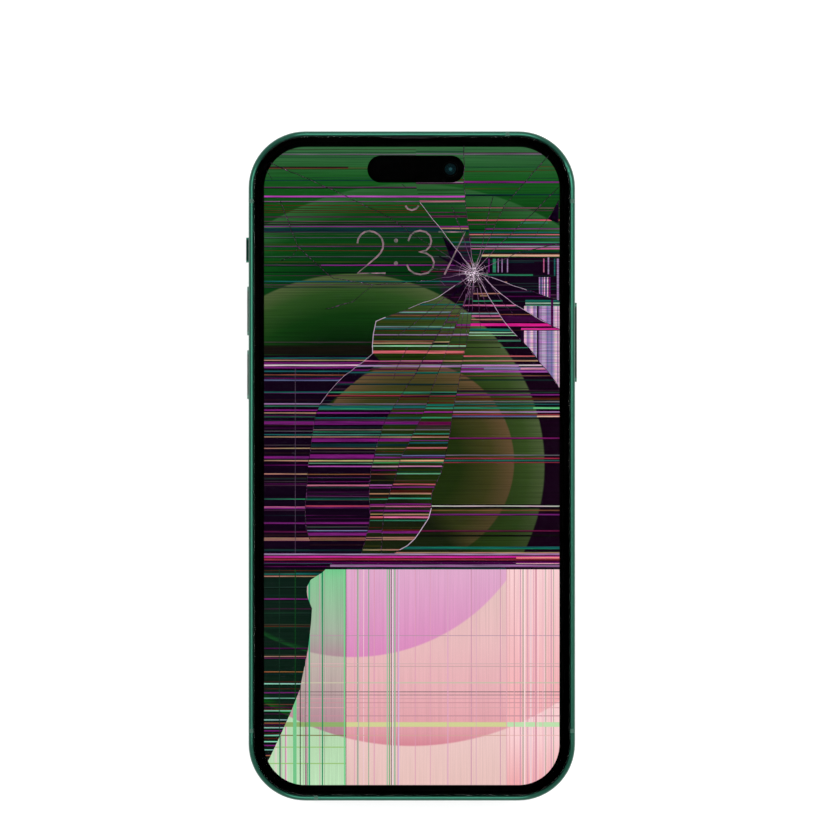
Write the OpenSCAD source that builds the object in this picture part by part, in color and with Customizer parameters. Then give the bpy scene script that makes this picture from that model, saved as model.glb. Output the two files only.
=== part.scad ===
// Smartphone with a shattered screen. It lies on its back: the screen faces +Z, the top end +Y.
// Millimetres. The origin is on the surface that it lies on, under the middle of the body.

/* [Body] */
// Width across the metal frame
body_w = 72; // [60:0.5:90]
// Length from the bottom end to the top end
body_l = 147.6; // [123:0.5:180]
// Thickness from the rear glass to the screen glass
body_t = 7.8; // [7.8:0.1:10]
// Plan radius of the four outer corners
corner_r = 12.5; // [11:0.5:16]
// Radius that rounds the frame's outer edges
edge_r = 1.2; // [0.6:0.1:1.6]
// Thickness of the frame's side wall
frame_wall = 2.4; // [2:0.1:2.9]
// Width of the metal rim around each glass
rim_w = 1.05; // [0.8:0.05:1.3]
// Thickness of the plate that spans the frame behind the screen
mid_plate_t = 0.5; // [0.4:0.1:0.8]
// Width of each plastic antenna break in the frame
antenna_w = 0.9; // [0.6:0.1:1.5]
// Distance of the side antenna breaks from the ends
antenna_from_end = 15.4; // [14:0.2:18]
// Distance of the end antenna breaks from the centre line
antenna_from_middle = 21.1; // [20:0.1:23]

/* [Glass and screen] */
// Thickness of the front glass and the rear glass
glass_t = 0.8; // [0.6:0.1:1]
// Radius that rounds the outer edge of each glass
glass_edge_r = 0.3; // [0.1:0.05:0.4]
// Gap between a glass and its metal rim
glass_fit = 0.1; // [0.05:0.05:0.2]
// Height by which each glass stands proud of the frame
glass_proud = 0.05; // [0.02:0.01:0.1]
// Thickness of the adhesive seals
seal_t = 0.15; // [0.1:0.05:0.2]
// Thickness of the display panel
panel_t = 0.54; // [0.4:0.02:0.7]
// Distance of the display panel's edge inside the glass edge
panel_inset = 1.35; // [1.3:0.05:2]
// Gap between the display panel and the glass
panel_gap = 0.06; // [0.04:0.01:0.1]
// Thickness of the steel plate behind the display panel
steel_plate_t = 0.2; // [0.15:0.05:0.3]
// Width of the plastic frame around the display panel
screen_frame_w = 1.1; // [1:0.05:1.2]
// Length of the camera cutout in the display
cutout_w = 21.4; // [20:0.1:24]
// Height of the camera cutout
cutout_h = 6; // [5.6:0.1:7]
// Sideways place of the camera cutout's middle
cutout_x = 0.9; // [-1:0.1:1]
// Distance of the cutout's middle from the top end
cutout_from_top = 8.35; // [8:0.05:10]
// Distance of the front camera from the cutout's middle
front_camera_offset = 7.6; // [6.5:0.1:8]

/* [Damage] */
// Sideways place of the blow that broke the screen
impact_x = 13.8; // [-20:0.1:20]
// Lengthwise place of the blow
impact_y = 42.6; // [-50:0.1:50]
// Width of a crack at the blow
crack_w = 0.1; // [0.06:0.01:0.2]
// Depth of the cracks in the glass
crack_depth = 0.45; // [0.2:0.05:0.6]
// Radius of the crushed pit at the blow
pit_r = 1.5; // [1:0.1:3]
// Depth of the crushed pit
pit_depth = 0.25; // [0.1:0.05:0.5]

/* [Rear cameras] */
// Width of the raised camera island
island_w = 17; // [16.4:0.2:18]
// Length of the raised camera island
island_l = 34; // [33:0.5:38]
// Height of the island above the rear glass
island_h = 1.5; // [1:0.1:2]
// Radius of the island's rounded edge
island_edge_r = 0.8; // [0.4:0.1:0.9]
// Distance of the lenses from the phone's side
camera_from_side = 14; // [13:0.5:16]
// Distance of the island's middle from the top end
camera_from_top = 25.8; // [24:0.2:30]
// Distance between the two lenses
lens_pitch = 16; // [15:0.5:17]
// Outer radius of the lens rings
lens_ring_r = 6.4; // [6.2:0.1:7]
// Height of the lens rings above the island
lens_ring_h = 0.8; // [0.5:0.1:1]
// Radius of the lens windows
lens_window_r = 4.5; // [4.4:0.1:4.7]
// Radius of the flash lens
flash_r = 2.6; // [2:0.1:3]
// Distance of the flash from the line of the lenses
flash_offset = 14; // [12.5:0.5:16]

/* [Side buttons] */
// Height of the buttons
button_h = 2.4; // [2:0.1:2.6]
// Running gap around the buttons
button_fit = 0.06; // [0.04:0.01:0.1]
// How far a button can be pressed
button_travel = 0.3; // [0.2:0.05:0.3]
// Length of each volume button
volume_l = 10.8; // [9:0.1:12]
// How far the volume buttons stand out
volume_proud = 0.32; // [0.31:0.01:0.5]
// Distance of the volume up button from the top end
volume_up_from_top = 39.6; // [38:0.1:41]
// Distance of the volume down button from the top end
volume_down_from_top = 53.65; // [53:0.05:58]
// Length of the power button
power_l = 17.5; // [14:0.1:20]
// How far the power button stands out
power_proud = 0.4; // [0.31:0.01:0.6]
// Distance of the power button from the top end
power_from_top = 46.5; // [40:0.1:52]
// Length of the silent switch
switch_l = 5.5; // [5:0.1:6.5]
// How far the silent switch stands out
switch_proud = 0.56; // [0.3:0.02:0.7]
// Travel of the silent switch
switch_travel = 1.2; // [0.8:0.1:1.2]
// Distance of the silent switch from the top end
switch_from_top = 26.15; // [25:0.05:28]

/* [SIM drawer] */
// Distance of the SIM drawer from the top end
sim_from_top = 81.8; // [78:0.2:90]
// Length of the drawer's door
sim_door_l = 14.6; // [14.4:0.1:16]
// Height of the drawer's door
sim_door_h = 2; // [1.8:0.1:2.2]
// Running gap around the drawer
sim_fit = 0.08; // [0.05:0.01:0.1]
// Thickness of the drawer's tray
sim_tray_t = 0.8; // [0.75:0.01:0.9]
// Depth of the tray behind the door
sim_tray_depth = 12.5; // [12:0.1:14]

/* [Charging socket and grilles] */
// Width of the socket's steel sleeve
socket_w = 8.94; // [8.9:0.02:9.2]
// Height of the socket's steel sleeve
socket_h = 3.2; // [3:0.05:3.26]
// Length of the socket
socket_l = 7.3; // [6.6:0.1:8]
// Wall thickness of the socket's sleeve
socket_wall = 0.3; // [0.2:0.05:0.4]
// Gap between the socket and the frame
socket_fit = 0.08; // [0.05:0.01:0.1]
// Distance of the two bottom screws from the middle
bottom_screw_x = 7.6; // [7.4:0.1:8]
// Radius of the bottom screws' heads
bottom_screw_head_r = 0.8; // [0.7:0.05:0.9]
// Radius of the grille holes
grille_r = 0.65; // [0.5:0.05:0.8]
// Distance between the grille holes
grille_pitch = 2.3; // [2:0.1:2.4]
// Distance of the first grille hole from the middle
grille_start = 12.2; // [12:0.1:12.6]
// Number of speaker holes
speaker_holes = 5; // [3:1:5]
// Number of microphone holes
microphone_holes = 4; // [2:1:4]

/* [Inside] */
// Width of the logic board
board_w = 24; // [22:0.5:26]
// Thickness of the logic board
board_t = 0.8; // [0.6:0.1:1]
// Height that the SIM reader needs in front of the board
reader_h = 1.6; // [1.5:0.1:1.8]
// Gap between the SIM reader and the mid plate
reader_gap = 0.45; // [0.3:0.05:0.6]
// Thickness of the charging coil
coil_t = 0.5; // [0.4:0.05:0.6]
// Outer radius of the charging coil
coil_r = 21; // [18:0.5:22]
// Gap between the charging coil and what lies in front of it
coil_gap = 0.3; // [0.2:0.05:0.4]
// Length of the bottom bay that holds the socket and speaker
bottom_bay_l = 20; // [19:0.5:24]
// Gap between neighbouring parts inside
part_gap = 0.8; // [0.5:0.1:1]
// Thickness of a printed flex
flex_t = 0.15; // [0.1:0.05:0.2]

/* [Hidden] */
$fn = 48;

// Colours
frame_green = [0.15, 0.38, 0.3];
break_green = [0.2, 0.45, 0.36];
glass_tint = [0.12, 0.16, 0.15, 0.35];
ink_black = [0.02, 0.02, 0.02];
steel = [0.7, 0.7, 0.72];
copper = [0.72, 0.42, 0.22];
board_blue = [0.08, 0.16, 0.2];
flex_brown = [0.32, 0.2, 0.08];

// Levels, from the lens rings' tips up to the screen
cut = 1;
back_z = island_h + lens_ring_h;
top_z = back_z + body_t;
band_z0 = back_z + glass_proud;
band_z1 = top_z - glass_proud;
rear_in_z = back_z + glass_t;
cavity_z0 = rear_in_z + seal_t;
glass_z0 = top_z - glass_t;
panel_z1 = glass_z0 - panel_gap;
panel_z0 = panel_z1 - panel_t;
plate_z0 = panel_z0 - steel_plate_t;
mid_z1 = plate_z0 - seal_t;
mid_z0 = mid_z1 - mid_plate_t;

// Plan outlines: half sizes of the body and its cavity, and the glass
hx = body_w / 2;
hy = body_l / 2;
cx = hx - frame_wall;
cy = hy - frame_wall;
cavity_r = corner_r - frame_wall;
glass_inset = rim_w + glass_fit;
glass_w = body_w - 2 * glass_inset;
glass_l = body_l - 2 * glass_inset;
glass_r = corner_r - glass_inset;
panel_w = glass_w - 2 * panel_inset;
panel_l = glass_l - 2 * panel_inset;
panel_r = glass_r - panel_inset;

// Side buttons, drawn on the +X side
stop_depth = 1.15;
stop_x = hx - stop_depth;
flange_lip = 0.4;
flange_t = 0.5;
nub_t = 0.2;
nub_r = 0.8;
mid_plate_gap = 0.15;
pocket_h = button_h + 2 * flange_lip;
side_z = mid_z0 - mid_plate_gap - pocket_h / 2;
dome_r = 1.5;
dome_clear = 0.05;
dome_t = stop_x - flange_t - nub_t - button_travel - dome_clear - cx;
button_flex_w = 2.8;
button_flex_margin = 2;
volume_up_y = hy - volume_up_from_top;
volume_down_y = hy - volume_down_from_top;
power_y = hy - power_from_top;
switch_y = hy - switch_from_top;
switch_slot_h = button_h + switch_travel + 2 * button_fit;
switch_slot_z = mid_z0 - mid_plate_gap - switch_slot_h / 2;
switch_z = switch_slot_z + switch_travel / 2;
switch_lip = 0.7;
switch_r = 0.5;
switch_stub_l = 1.6;
well_margin = 0.35;

// SIM drawer
sim_y = hy - sim_from_top;
board_z1 = mid_z0 - reader_gap - reader_h;
board_z0 = board_z1 - board_t;
sim_z = board_z1 + reader_h / 2;
door_t = 1;
neck_t = 0.6;
neck_inset = 0.4;
tray_w = sim_door_l - 2 * neck_inset;
tray_x0 = -hx + door_t + neck_t;
card = [8.8, 12.3, 0.67];
card_fit = 0.05;
card_lip = 0.75;
card_from_neck = 1.2;
card_notch = 1.4;
reader_wall = 0.9;
reader_wall_gap = 0.1;
tray_end_gap = 0.4;
reader_half = tray_w / 2 + 2 * sim_fit + reader_wall;
eject_hole_r = 0.35;
eject_from_end = 2.2;

// Charging socket, bottom screws and grilles
socket_recess = 0.2;
socket_y0 = -hy + socket_recess;
socket_floor = 0.5;
tongue = [6.7, 5.6, 0.7];
screw_shank_r = 0.5;
screw_head_t = 0.5;
screw_sink = 0.05;
screw_fit = 0.02;
lug_w = 3;
lug_t = 0.6;
lug_gap = 0.1;
lug_window_gap = 0.25;
lug_foot = 1.4;
lug_y = -cy + lug_gap + lug_t / 2;
mesh_t = 0.2;
mesh_h = 2.4;

// Rear cameras
camera_x = hx - camera_from_side;
camera_y = hy - camera_from_top;
upper_lens_y = camera_y + lens_pitch / 2;
lower_lens_y = camera_y - lens_pitch / 2;
ring_fit = 0.05;
ring_lip = 0.8;
ring_step = 0.4;
ring_sleeve_r = lens_ring_r - ring_lip;
ring_bore_r = lens_window_r + ring_fit;
ring_step_r = lens_window_r - ring_step;
ring_chamfer = 0.25;
window_recess = 0.2;
window_t = 0.65;
barrel_inset = 0.6;
barrel_r = lens_window_r - barrel_inset;
barrel_gap = 0.1;
camera_floor_gap = 0.4;
camera_body_z0 = rear_in_z + camera_floor_gap;
main_camera_side = 14.6;
wide_camera_side = 12.6;
bracket_wall = 0.4;
bracket = [16.6, 33.4];
flash_x = camera_x - flash_offset;
flash_y = upper_lens_y;
flash_led_side = 1.4 * flash_r;

// Boards, battery and the bottom bay
boss_r = 1.5;
board_screw_r = 0.6;
board_screw_hole_fit = 0.1;
board_screw_head_r = 1.2;
board_screw_head_t = 0.5;
board_screw_engage = 1.6;
board_screw_inset = 2.2;
board_from_wall = 0.7;
board_from_bay = 7.4;
board_from_top = 11.4;
bottom_bay_y = -cy + bottom_bay_l;
board_x0 = -cx + board_from_wall;
board_x1 = board_x0 + board_w;
board_y0 = min(bottom_bay_y + board_from_bay,
    sim_y - reader_half - part_gap - boss_r - board_screw_inset);
board_y1 = cy - board_from_top;
arm_gap = 1.2;
arm_x1 = camera_x - bracket[0] / 2 - arm_gap;
arm_l = 13;
board_screw_at = [
    [board_x0 + board_screw_inset, board_y0 + board_screw_inset],
    [board_x1 - board_screw_inset, board_y0 + board_screw_inset],
    [board_x0 + board_screw_inset, board_y1 - board_screw_inset],
    [arm_x1 - board_screw_inset, board_y1 - arm_l + board_screw_inset]
];
battery_from_board = 2;
battery_clear = 0.1;
battery_r = 1.5;
tape_t = 0.15;
tape_w = 6;
tape_inset = 2;
battery_x0 = board_x1 + battery_from_board;
battery_x1 = cx - part_gap;
battery_y0 = bottom_bay_y + part_gap;
battery_y1 = camera_y - bracket[1] / 2 - 3 * part_gap;
battery_z0 = rear_in_z + coil_t + coil_gap + battery_clear;
battery_z1 = mid_z0 - tape_t;
plug = [4, 7];
plug_from_edge = 1;
connector_h = 0.8;
strip_z = board_z1 + connector_h;
battery_plug_drop = 10;
display_plug_rise = 3.8;
battery_plug_y = volume_up_y - battery_plug_drop;
display_plug_y = volume_up_y + display_plug_rise;
window_from_board = 1;
display_window_x = board_x1 + window_from_board;
display_window = [5, 9];

// Shield, and the chips under it as [x, y, side x, side y] from the shield's corner
shield_z0 = rear_in_z + coil_t + coil_gap;
shield = [19, 62];
shield_wall = 0.2;
shield_inset = 2.2;
shield_from_end = 8;
shield_x0 = board_x0 + shield_inset;
shield_y0 = board_y0 + shield_from_end;
chips = [[3, 4, 13, 13], [3, 20, 13, 11], [2, 34, 7, 8], [11, 34, 6, 6], [4, 46, 11, 9]];
chip_h = 0.6 * (board_z0 - shield_z0);

// Charging magnets, vibration motor, microphone and dock flex
magnet_count = 18;
magnet_gap = 1.5;
magnet_w = 3.5;
magnet_split = 2;
motor_from_wall = 4.6;
motor_from_end = 4.4;
motor_x0 = -cx + motor_from_wall;
motor_x1 = -bottom_screw_x - lug_w / 2 - part_gap - lug_gap;
motor_l = 9;
motor_h = 3.1;
motor_r = 1;
mic = [3.6, 1.8, 2];
mic_x = -grille_start - grille_pitch;
dock_from_end = 5;
dock_l = 8;
dock_lap = 3;
dock_tail = [board_x1 - 11.1, board_x1 - 4.4];
dock_plug_inset = [1, 0.5];

// Front camera, face sensor and earpiece
cutout_y = hy - cutout_from_top;
front_camera_x = cutout_x + front_camera_offset;
front_camera_body = 5.8;
front_camera_depth = 2.6;
front_camera_z0 = mid_z0 - front_camera_depth;
front_barrel_r = 1.9;
front_lens_r = 1.3;
front_lens_t = 0.2;
cutout_fit = 0.2;
sensor_body = [12.6, 5.2];
sensor_inset = 7.6;
sensor_body_x = cutout_x - cutout_w / 2 + sensor_inset;
window_gap = 0.3;
earpiece_w = 9;
earpiece_slot_d = 0.45;
earpiece_fit = 0.05;
earpiece_port = 1;
earpiece_box = [12, 2.1, 2.6];

// Cracks: points chosen along each crack, from the blow outwards
impact = [impact_x, impact_y];
crack_tip = 0.3;
cracks_from_blow = [
    [[2, 58.1]],
    [[12.8, 46], [11, 51.7], [8.8, 57.2]],
    [[13.2, 46], [12.6, 52.2], [11.9, 57.2], [11.5, 62.8]],
    [[15, 46.6], [15.9, 51.1], [16.5, 53.9], [17.9, 59.4]],
    [[15.4, 46.4], [17, 50], [20.5, 57.7], [29.8, 68]],
    [[19.4, 48.9], [25.4, 54.6], [32.4, 61.4]],
    [[18.9, 38.9], [22.1, 36.1], [26.9, 32.7], [31.1, 30.8]],
    [[24.3, 38.9], [31.3, 36.8]],
    [[16.1, 38.9], [20.7, 31.4], [27.8, 23.7], [32.4, 17.1]],
    [[13.4, 35.3], [11.9, 26.8], [9.5, 14.4], [7.6, 3.5], [4.4, -6.1], [3.7, -11.5], [-2.7, -18.7]],
    [[9.7, 35.6], [4.9, 27.7], [0.2, 19.5], [-5.5, 10.8], [-8.8, -0.3], [-9, -10.9], [-11, -19]],
    [[10.1, 31.9], [6.1, 21.3], [2.4, 10.8], [-3.8, -2.3], [-6, -9.4]],
    [[8.6, 45.8], [1, 50.5], [-5.5, 55.1], [-15.9, 60.1], [-23.9, 63.7], [-31.3, 66.9]],
    [[11.4, 42.3], [4.1, 40.9], [-8.5, 39.9], [-17.4, 41.4], [-25, 48.2], [-29, 58.4]],
    [[5.8, 37.2], [-0.7, 34.7], [-7.7, 31.9], [-8.8, 25.5], [-14.8, 20.2], [-19.9, 14.1],
        [-22.4, 4.3], [-23.4, -8.6], [-22.8, -15.5]]
];

// Basic shapes ------------------------------------------------------------------------------

// Rectangle with round corners, centred
module round_rect(w, l, r) {
    square([w - 2 * r, l], center = true);
    square([w, l - 2 * r], center = true);
    for (x = [-1, 1], y = [-1, 1])
        translate([x * (w / 2 - r), y * (l / 2 - r)]) circle(r);
}

// Slot shape with round ends, l long along x and h high
module stadium(l, h) {
    square([l - h, h], center = true);
    for (x = [-1, 1]) translate([x * (l - h) / 2, 0]) circle(h / 2);
}

// Raises an outline from z0 to z1
module slab(z0, z1) {
    translate([0, 0, z0]) linear_extrude(z1 - z0) children();
}

// Extrudes an outline in the YZ plane from x0 to x1
module along_x(x0, x1) {
    translate([x0, 0, 0]) rotate([90, 0, 90]) linear_extrude(x1 - x0) children();
}

// Extrudes an outline in the XZ plane from y0 to y1
module along_y(y0, y1) {
    translate([0, y1, 0]) rotate([90, 0, 0]) linear_extrude(y1 - y0) children();
}

// Box between two corners
module block(a, b) {
    translate(a) cube(b - a);
}

// Everything inside the frame's wall, less a gap
module inside(gap) {
    slab(cavity_z0, mid_z0) round_rect(2 * (cx - gap), 2 * (cy - gap), cavity_r - gap);
}

// Housing -----------------------------------------------------------------------------------

// Half section out to radius r, its lower and upper edges rounded by low_r and high_r
module edge_section(r, z0, z1, low_r, high_r) {
    translate([0, z0 + low_r]) square([r, z1 - z0 - low_r - high_r]);
    if (low_r > 0) translate([0, z0]) {
        square([r - low_r, 2 * low_r]);
        translate([r - low_r, low_r]) circle(low_r);
    }
    if (high_r > 0) translate([0, z1 - 2 * high_r]) {
        square([r - high_r, 2 * high_r]);
        translate([r - high_r, high_r]) circle(high_r);
    }
}

// Plate with round corners in plan and rounded edges, from half sizes
module pebble(half_x, half_y, r, z0, z1, low_r, high_r) {
    sx = half_x - r;
    sy = half_y - r;
    block([-sx, -sy, z0], [sx, sy, z1]);
    for (a = [0, 180]) rotate([0, 0, a]) translate([sx, 0, 0])
        along_y(-sy, sy) edge_section(r, z0, z1, low_r, high_r);
    for (a = [90, 270]) rotate([0, 0, a]) translate([sy, 0, 0])
        along_y(-sx, sx) edge_section(r, z0, z1, low_r, high_r);
    for (x = [0, 1], y = [0, 1]) mirror([x, 0, 0]) mirror([0, y, 0])
        translate([sx, sy, 0]) rotate_extrude(angle = 90) edge_section(r, z0, z1, low_r, high_r);
}

module pocket(z0, z1) {
    slab(z0, z1) round_rect(body_w - 2 * rim_w, body_l - 2 * rim_w, corner_r - rim_w);
}

// Frame wall and mid plate, before its slots are cut
module band() {
    difference() {
        pebble(hx, hy, corner_r, band_z0, band_z1, edge_r, edge_r);
        pocket(band_z0 - cut, cavity_z0);
        slab(cavity_z0 - cut, mid_z0) round_rect(2 * cx, 2 * cy, cavity_r);
        pocket(mid_z1, band_z1 + cut);
    }
}

// Space of the six antenna breaks, through the wall only
module antenna_space() {
    difference() {
        union() {
            for (y = [-1, 1]) translate([0, y * (hy - antenna_from_end), (band_z0 + band_z1) / 2])
                cube([body_w + cut, antenna_w, body_t + cut], center = true);
            for (end = [-1, 1])
                translate([end * antenna_from_middle, end * hy / 2, (band_z0 + band_z1) / 2])
                    cube([antenna_w, hy + cut, body_t + cut], center = true);
        }
        slab(0, top_z + cut) round_rect(2 * cx, 2 * cy, cavity_r);
    }
}

// Stepped slot for a button on the +X side
module button_slot(y, l) {
    along_x(stop_x - cut, hx + cut) translate([y, side_z])
        stadium(l + 2 * button_fit, button_h + 2 * button_fit);
    along_x(cx - cut, stop_x) translate([y, side_z])
        stadium(l + 2 * (flange_lip + button_fit), pocket_h + 2 * button_fit);
}

module switch_slot() {
    along_x(stop_x - cut, hx + cut) translate([switch_y, switch_slot_z])
        square([switch_l + 2 * button_fit, switch_slot_h], center = true);
    along_x(cx - cut, stop_x) translate([switch_y, switch_slot_z])
        square([switch_l + 2 * (switch_lip + button_fit), switch_slot_h], center = true);
}

module bottom_cuts() {
    along_y(-hy - cut, -cy + cut) {
        translate([0, side_z]) stadium(socket_w + 2 * socket_fit, socket_h + 2 * socket_fit);
        for (x = [-1, 1]) translate([x * bottom_screw_x, side_z]) circle(screw_shank_r + screw_fit);
        for (i = [0:speaker_holes - 1])
            translate([grille_start + i * grille_pitch, side_z]) circle(grille_r);
        for (i = [0:microphone_holes - 1])
            translate([-grille_start - i * grille_pitch, side_z]) circle(grille_r);
    }
    along_y(-hy - cut, -hy + screw_sink + screw_head_t)
        for (x = [-1, 1]) translate([x * bottom_screw_x, side_z]) circle(bottom_screw_head_r + screw_fit);
}

// Plan of the front camera's body and the gap around it
module front_camera_room() {
    translate([front_camera_x, cutout_y]) square(front_camera_body + 2 * window_gap, center = true);
}

// Windows in the mid plate, for the front camera, the display's cable and its screw lugs
module mid_plate_windows() {
    slab(mid_z0 - cut, mid_z1 + cut) {
        front_camera_room();
        translate([sensor_body_x, cutout_y])
            square([sensor_body[0] + 2 * window_gap, sensor_body[1] + 2 * window_gap], center = true);
        translate([display_window_x, display_plug_y - display_window[1] / 2]) square(display_window);
        for (x = [-1, 1]) translate([x * bottom_screw_x, lug_y])
            square([lug_w + 2 * lug_window_gap, lug_t + 2 * lug_window_gap], center = true);
        translate([0, cy - earpiece_box[1] / 2]) square([earpiece_w, earpiece_port], center = true);
    }
}

module housing_frame() {
    color(frame_green) difference() {
        union() {
            band();
            for (at = board_screw_at) translate(at) slab(board_z1, mid_z0) circle(boss_r);
        }
        antenna_space();
        button_slot(power_y, power_l);
        mirror([1, 0, 0]) {
            button_slot(volume_up_y, volume_l);
            button_slot(volume_down_y, volume_l);
            switch_slot();
        }
        along_x(-hx - cut, -cx + cut) translate([sim_y, sim_z])
            stadium(sim_door_l + 2 * sim_fit, sim_door_h + 2 * sim_fit);
        bottom_cuts();
        mid_plate_windows();
        for (at = board_screw_at) translate(at)
            slab(board_z1 - cut, board_z1 + board_screw_engage) circle(board_screw_r + screw_fit);
    }
}

module antenna_breaks() {
    color(break_green) intersection() {
        band();
        antenna_space();
    }
}

// Screen ------------------------------------------------------------------------------------

// One side of a crack: its points moved sideways by a half width that tapers to the tip
function crack_heading(p, i) =
    let (a = p[max(i - 1, 0)], b = p[min(i + 1, len(p) - 1)]) atan2(b[1] - a[1], b[0] - a[0]);
function crack_side(p, side) = [
    for (i = [0:len(p) - 1])
        let (half = crack_w / 2 * (1 - (1 - crack_tip) * i / (len(p) - 1)), h = crack_heading(p, i))
            p[i] + side * half * [-sin(h), cos(h)]
];
function reversed(p) = [for (i = [len(p) - 1:-1:0]) p[i]];

module crack(p) {
    slab(top_z - crack_depth, top_z + cut) polygon(concat(crack_side(p, 1), reversed(crack_side(p, -1))));
}

module cover_glass() {
    color(glass_tint) difference() {
        pebble(glass_w / 2, glass_l / 2, glass_r, glass_z0, top_z, 0, glass_edge_r);
        for (c = cracks_from_blow) crack(concat([impact], c));
        translate([impact_x, impact_y, top_z - pit_depth])
            cylinder(h = pit_depth + cut, r1 = pit_r / 2, r2 = pit_r / 2 + pit_r * (1 + cut / pit_depth) / 2);
        translate([0, hy - glass_inset, 0]) slab(glass_z0 - cut, top_z + cut)
            square([earpiece_w, 2 * earpiece_slot_d], center = true);
    }
}

module screen_sheet(z0, z1, grow) {
    difference() {
        slab(z0, z1) round_rect(panel_w, panel_l, panel_r);
        translate([cutout_x, cutout_y, 0]) slab(z0 - cut, z1 + cut)
            stadium(cutout_w + 2 * grow, cutout_h + 2 * grow);
    }
}

module display_panel() {
    color(ink_black) screen_sheet(panel_z0, panel_z1, 0);
}

module display_plate() {
    color(steel) difference() {
        screen_sheet(plate_z0, panel_z0, cutout_fit);
        translate([display_window_x, display_plug_y - display_window[1] / 2, 0])
            slab(plate_z0 - cut, panel_z0 + cut) square(display_window);
    }
}

// Ring between the outer outline, grow inside the glass edge, and an inner one w further in
module screen_ring(z0, z1, grow, w) {
    difference() {
        slab(z0, z1) round_rect(glass_w - 2 * grow, glass_l - 2 * grow, glass_r - grow);
        slab(z0 - cut, z1 + cut)
            round_rect(glass_w - 2 * (grow + w), glass_l - 2 * (grow + w), glass_r - grow - w);
    }
}

module display_frame() {
    lug_y1 = lug_y + lug_t / 2;
    color(ink_black) difference() {
        union() {
            screen_ring(plate_z0, glass_z0, glass_fit, screen_frame_w);
            for (x = [-1, 1]) translate([x * bottom_screw_x, 0, 0]) {
                block([-lug_w / 2, lug_y1 - lug_t, side_z - lug_w / 2], [lug_w / 2, lug_y1, plate_z0]);
                block([-lug_w / 2, lug_y1 - lug_foot, mid_z1], [lug_w / 2, lug_y1, plate_z0]);
            }
        }
        along_y(-hy, -cy + cut) for (x = [-1, 1])
            translate([x * bottom_screw_x, side_z]) circle(screw_shank_r + screw_fit);
    }
}

module display_seal() {
    color([0.1, 0.1, 0.1]) difference() {
        screen_ring(mid_z1, plate_z0, glass_fit, screen_frame_w);
        for (x = [-1, 1]) translate([x * bottom_screw_x, lug_y, 0]) slab(mid_z1 - cut, plate_z0 + cut)
            square([lug_w + 2 * lug_window_gap, 2 * lug_foot], center = true);
    }
}

// Plug on the logic board at y, and its flat flex out to x1
module plug_and_strip(y, x1) {
    plug_x1 = board_x1 - plug_from_edge;
    block([plug_x1 - plug[0], y - plug[1] / 2, board_z1], [plug_x1, y + plug[1] / 2, strip_z]);
    block([plug_x1 - plug[0], y - plug[1] / 2, strip_z], [x1, y + plug[1] / 2, strip_z + flex_t]);
}

// Flex from the panel, through the mid plate's window, to its plug on the logic board
module display_cable() {
    y0 = display_plug_y - plug[1] / 2;
    y1 = display_plug_y + plug[1] / 2;
    bend_x = display_window_x + display_window[0] / 2;
    color(flex_brown) {
        plug_and_strip(display_plug_y, bend_x + flex_t);
        block([bend_x, y0, strip_z], [bend_x + flex_t, y1, panel_z0]);
        block([bend_x, y0, panel_z0 - flex_t], [display_window_x + display_window[0] - flex_t, y1, panel_z0]);
    }
}

module face_sensor() {
    color(ink_black) difference() {
        union() {
            translate([cutout_x, cutout_y, 0]) slab(plate_z0, panel_z1)
                stadium(cutout_w - 2 * cutout_fit, cutout_h - 2 * cutout_fit);
            translate([sensor_body_x, cutout_y, 0]) slab(front_camera_z0, plate_z0)
                square(sensor_body, center = true);
        }
        translate([front_camera_x, cutout_y, 0]) slab(plate_z0 - cut, panel_z1 + cut)
            circle(front_barrel_r + cutout_fit / 2);
    }
}

module front_camera() {
    color([0.05, 0.05, 0.06]) translate([front_camera_x, cutout_y, 0]) {
        slab(front_camera_z0, plate_z0) square(front_camera_body, center = true);
        difference() {
            slab(plate_z0, panel_z1) circle(front_barrel_r);
            slab(panel_z1 - front_lens_t, panel_z1 + cut) circle(front_lens_r + screw_fit);
        }
    }
}

module front_camera_lens() {
    color([0.05, 0.08, 0.15]) translate([front_camera_x, cutout_y, 0])
        slab(panel_z1 - front_lens_t, panel_z1) circle(front_lens_r);
}

module earpiece_mesh() {
    color([0.06, 0.06, 0.06]) block(
        [-earpiece_w / 2 + earpiece_fit, hy - glass_inset - earpiece_slot_d + earpiece_fit, glass_z0],
        [earpiece_w / 2 - earpiece_fit, hy - glass_inset, top_z - glass_edge_r]);
}

module earpiece_speaker() {
    color([0.12, 0.12, 0.13]) translate([-earpiece_box[0] / 2, cy - glass_fit - earpiece_box[1], 0])
        block([0, 0, mid_z0 - earpiece_box[2]], [earpiece_box[0], earpiece_box[1], mid_z0]);
}

// Rear glass and cameras --------------------------------------------------------------------

module island_section() {
    edge_section(island_w / 2, back_z - island_h, back_z + glass_t / 2, island_edge_r, 0);
}

module camera_island() {
    s = (island_l - island_w) / 2;
    translate([camera_x, camera_y, 0]) for (a = [0, 180]) rotate([0, 0, a]) {
        translate([0, s, 0]) rotate_extrude(angle = 180) island_section();
        along_y(-s, s) island_section();
    }
}

module rear_cover() {
    color(frame_green) difference() {
        union() {
            pebble(glass_w / 2, glass_l / 2, glass_r, back_z, rear_in_z, glass_edge_r, 0);
            camera_island();
        }
        for (y = [upper_lens_y, lower_lens_y]) translate([camera_x, y, 0])
            slab(0, rear_in_z + cut) circle(ring_sleeve_r + ring_fit);
        translate([flash_x, flash_y, 0]) slab(0, rear_in_z + cut) circle(flash_r + ring_fit);
    }
}

module rear_seal() {
    color([0.1, 0.1, 0.1]) screen_ring(rear_in_z, cavity_z0, glass_fit, screen_frame_w);
}

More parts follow.
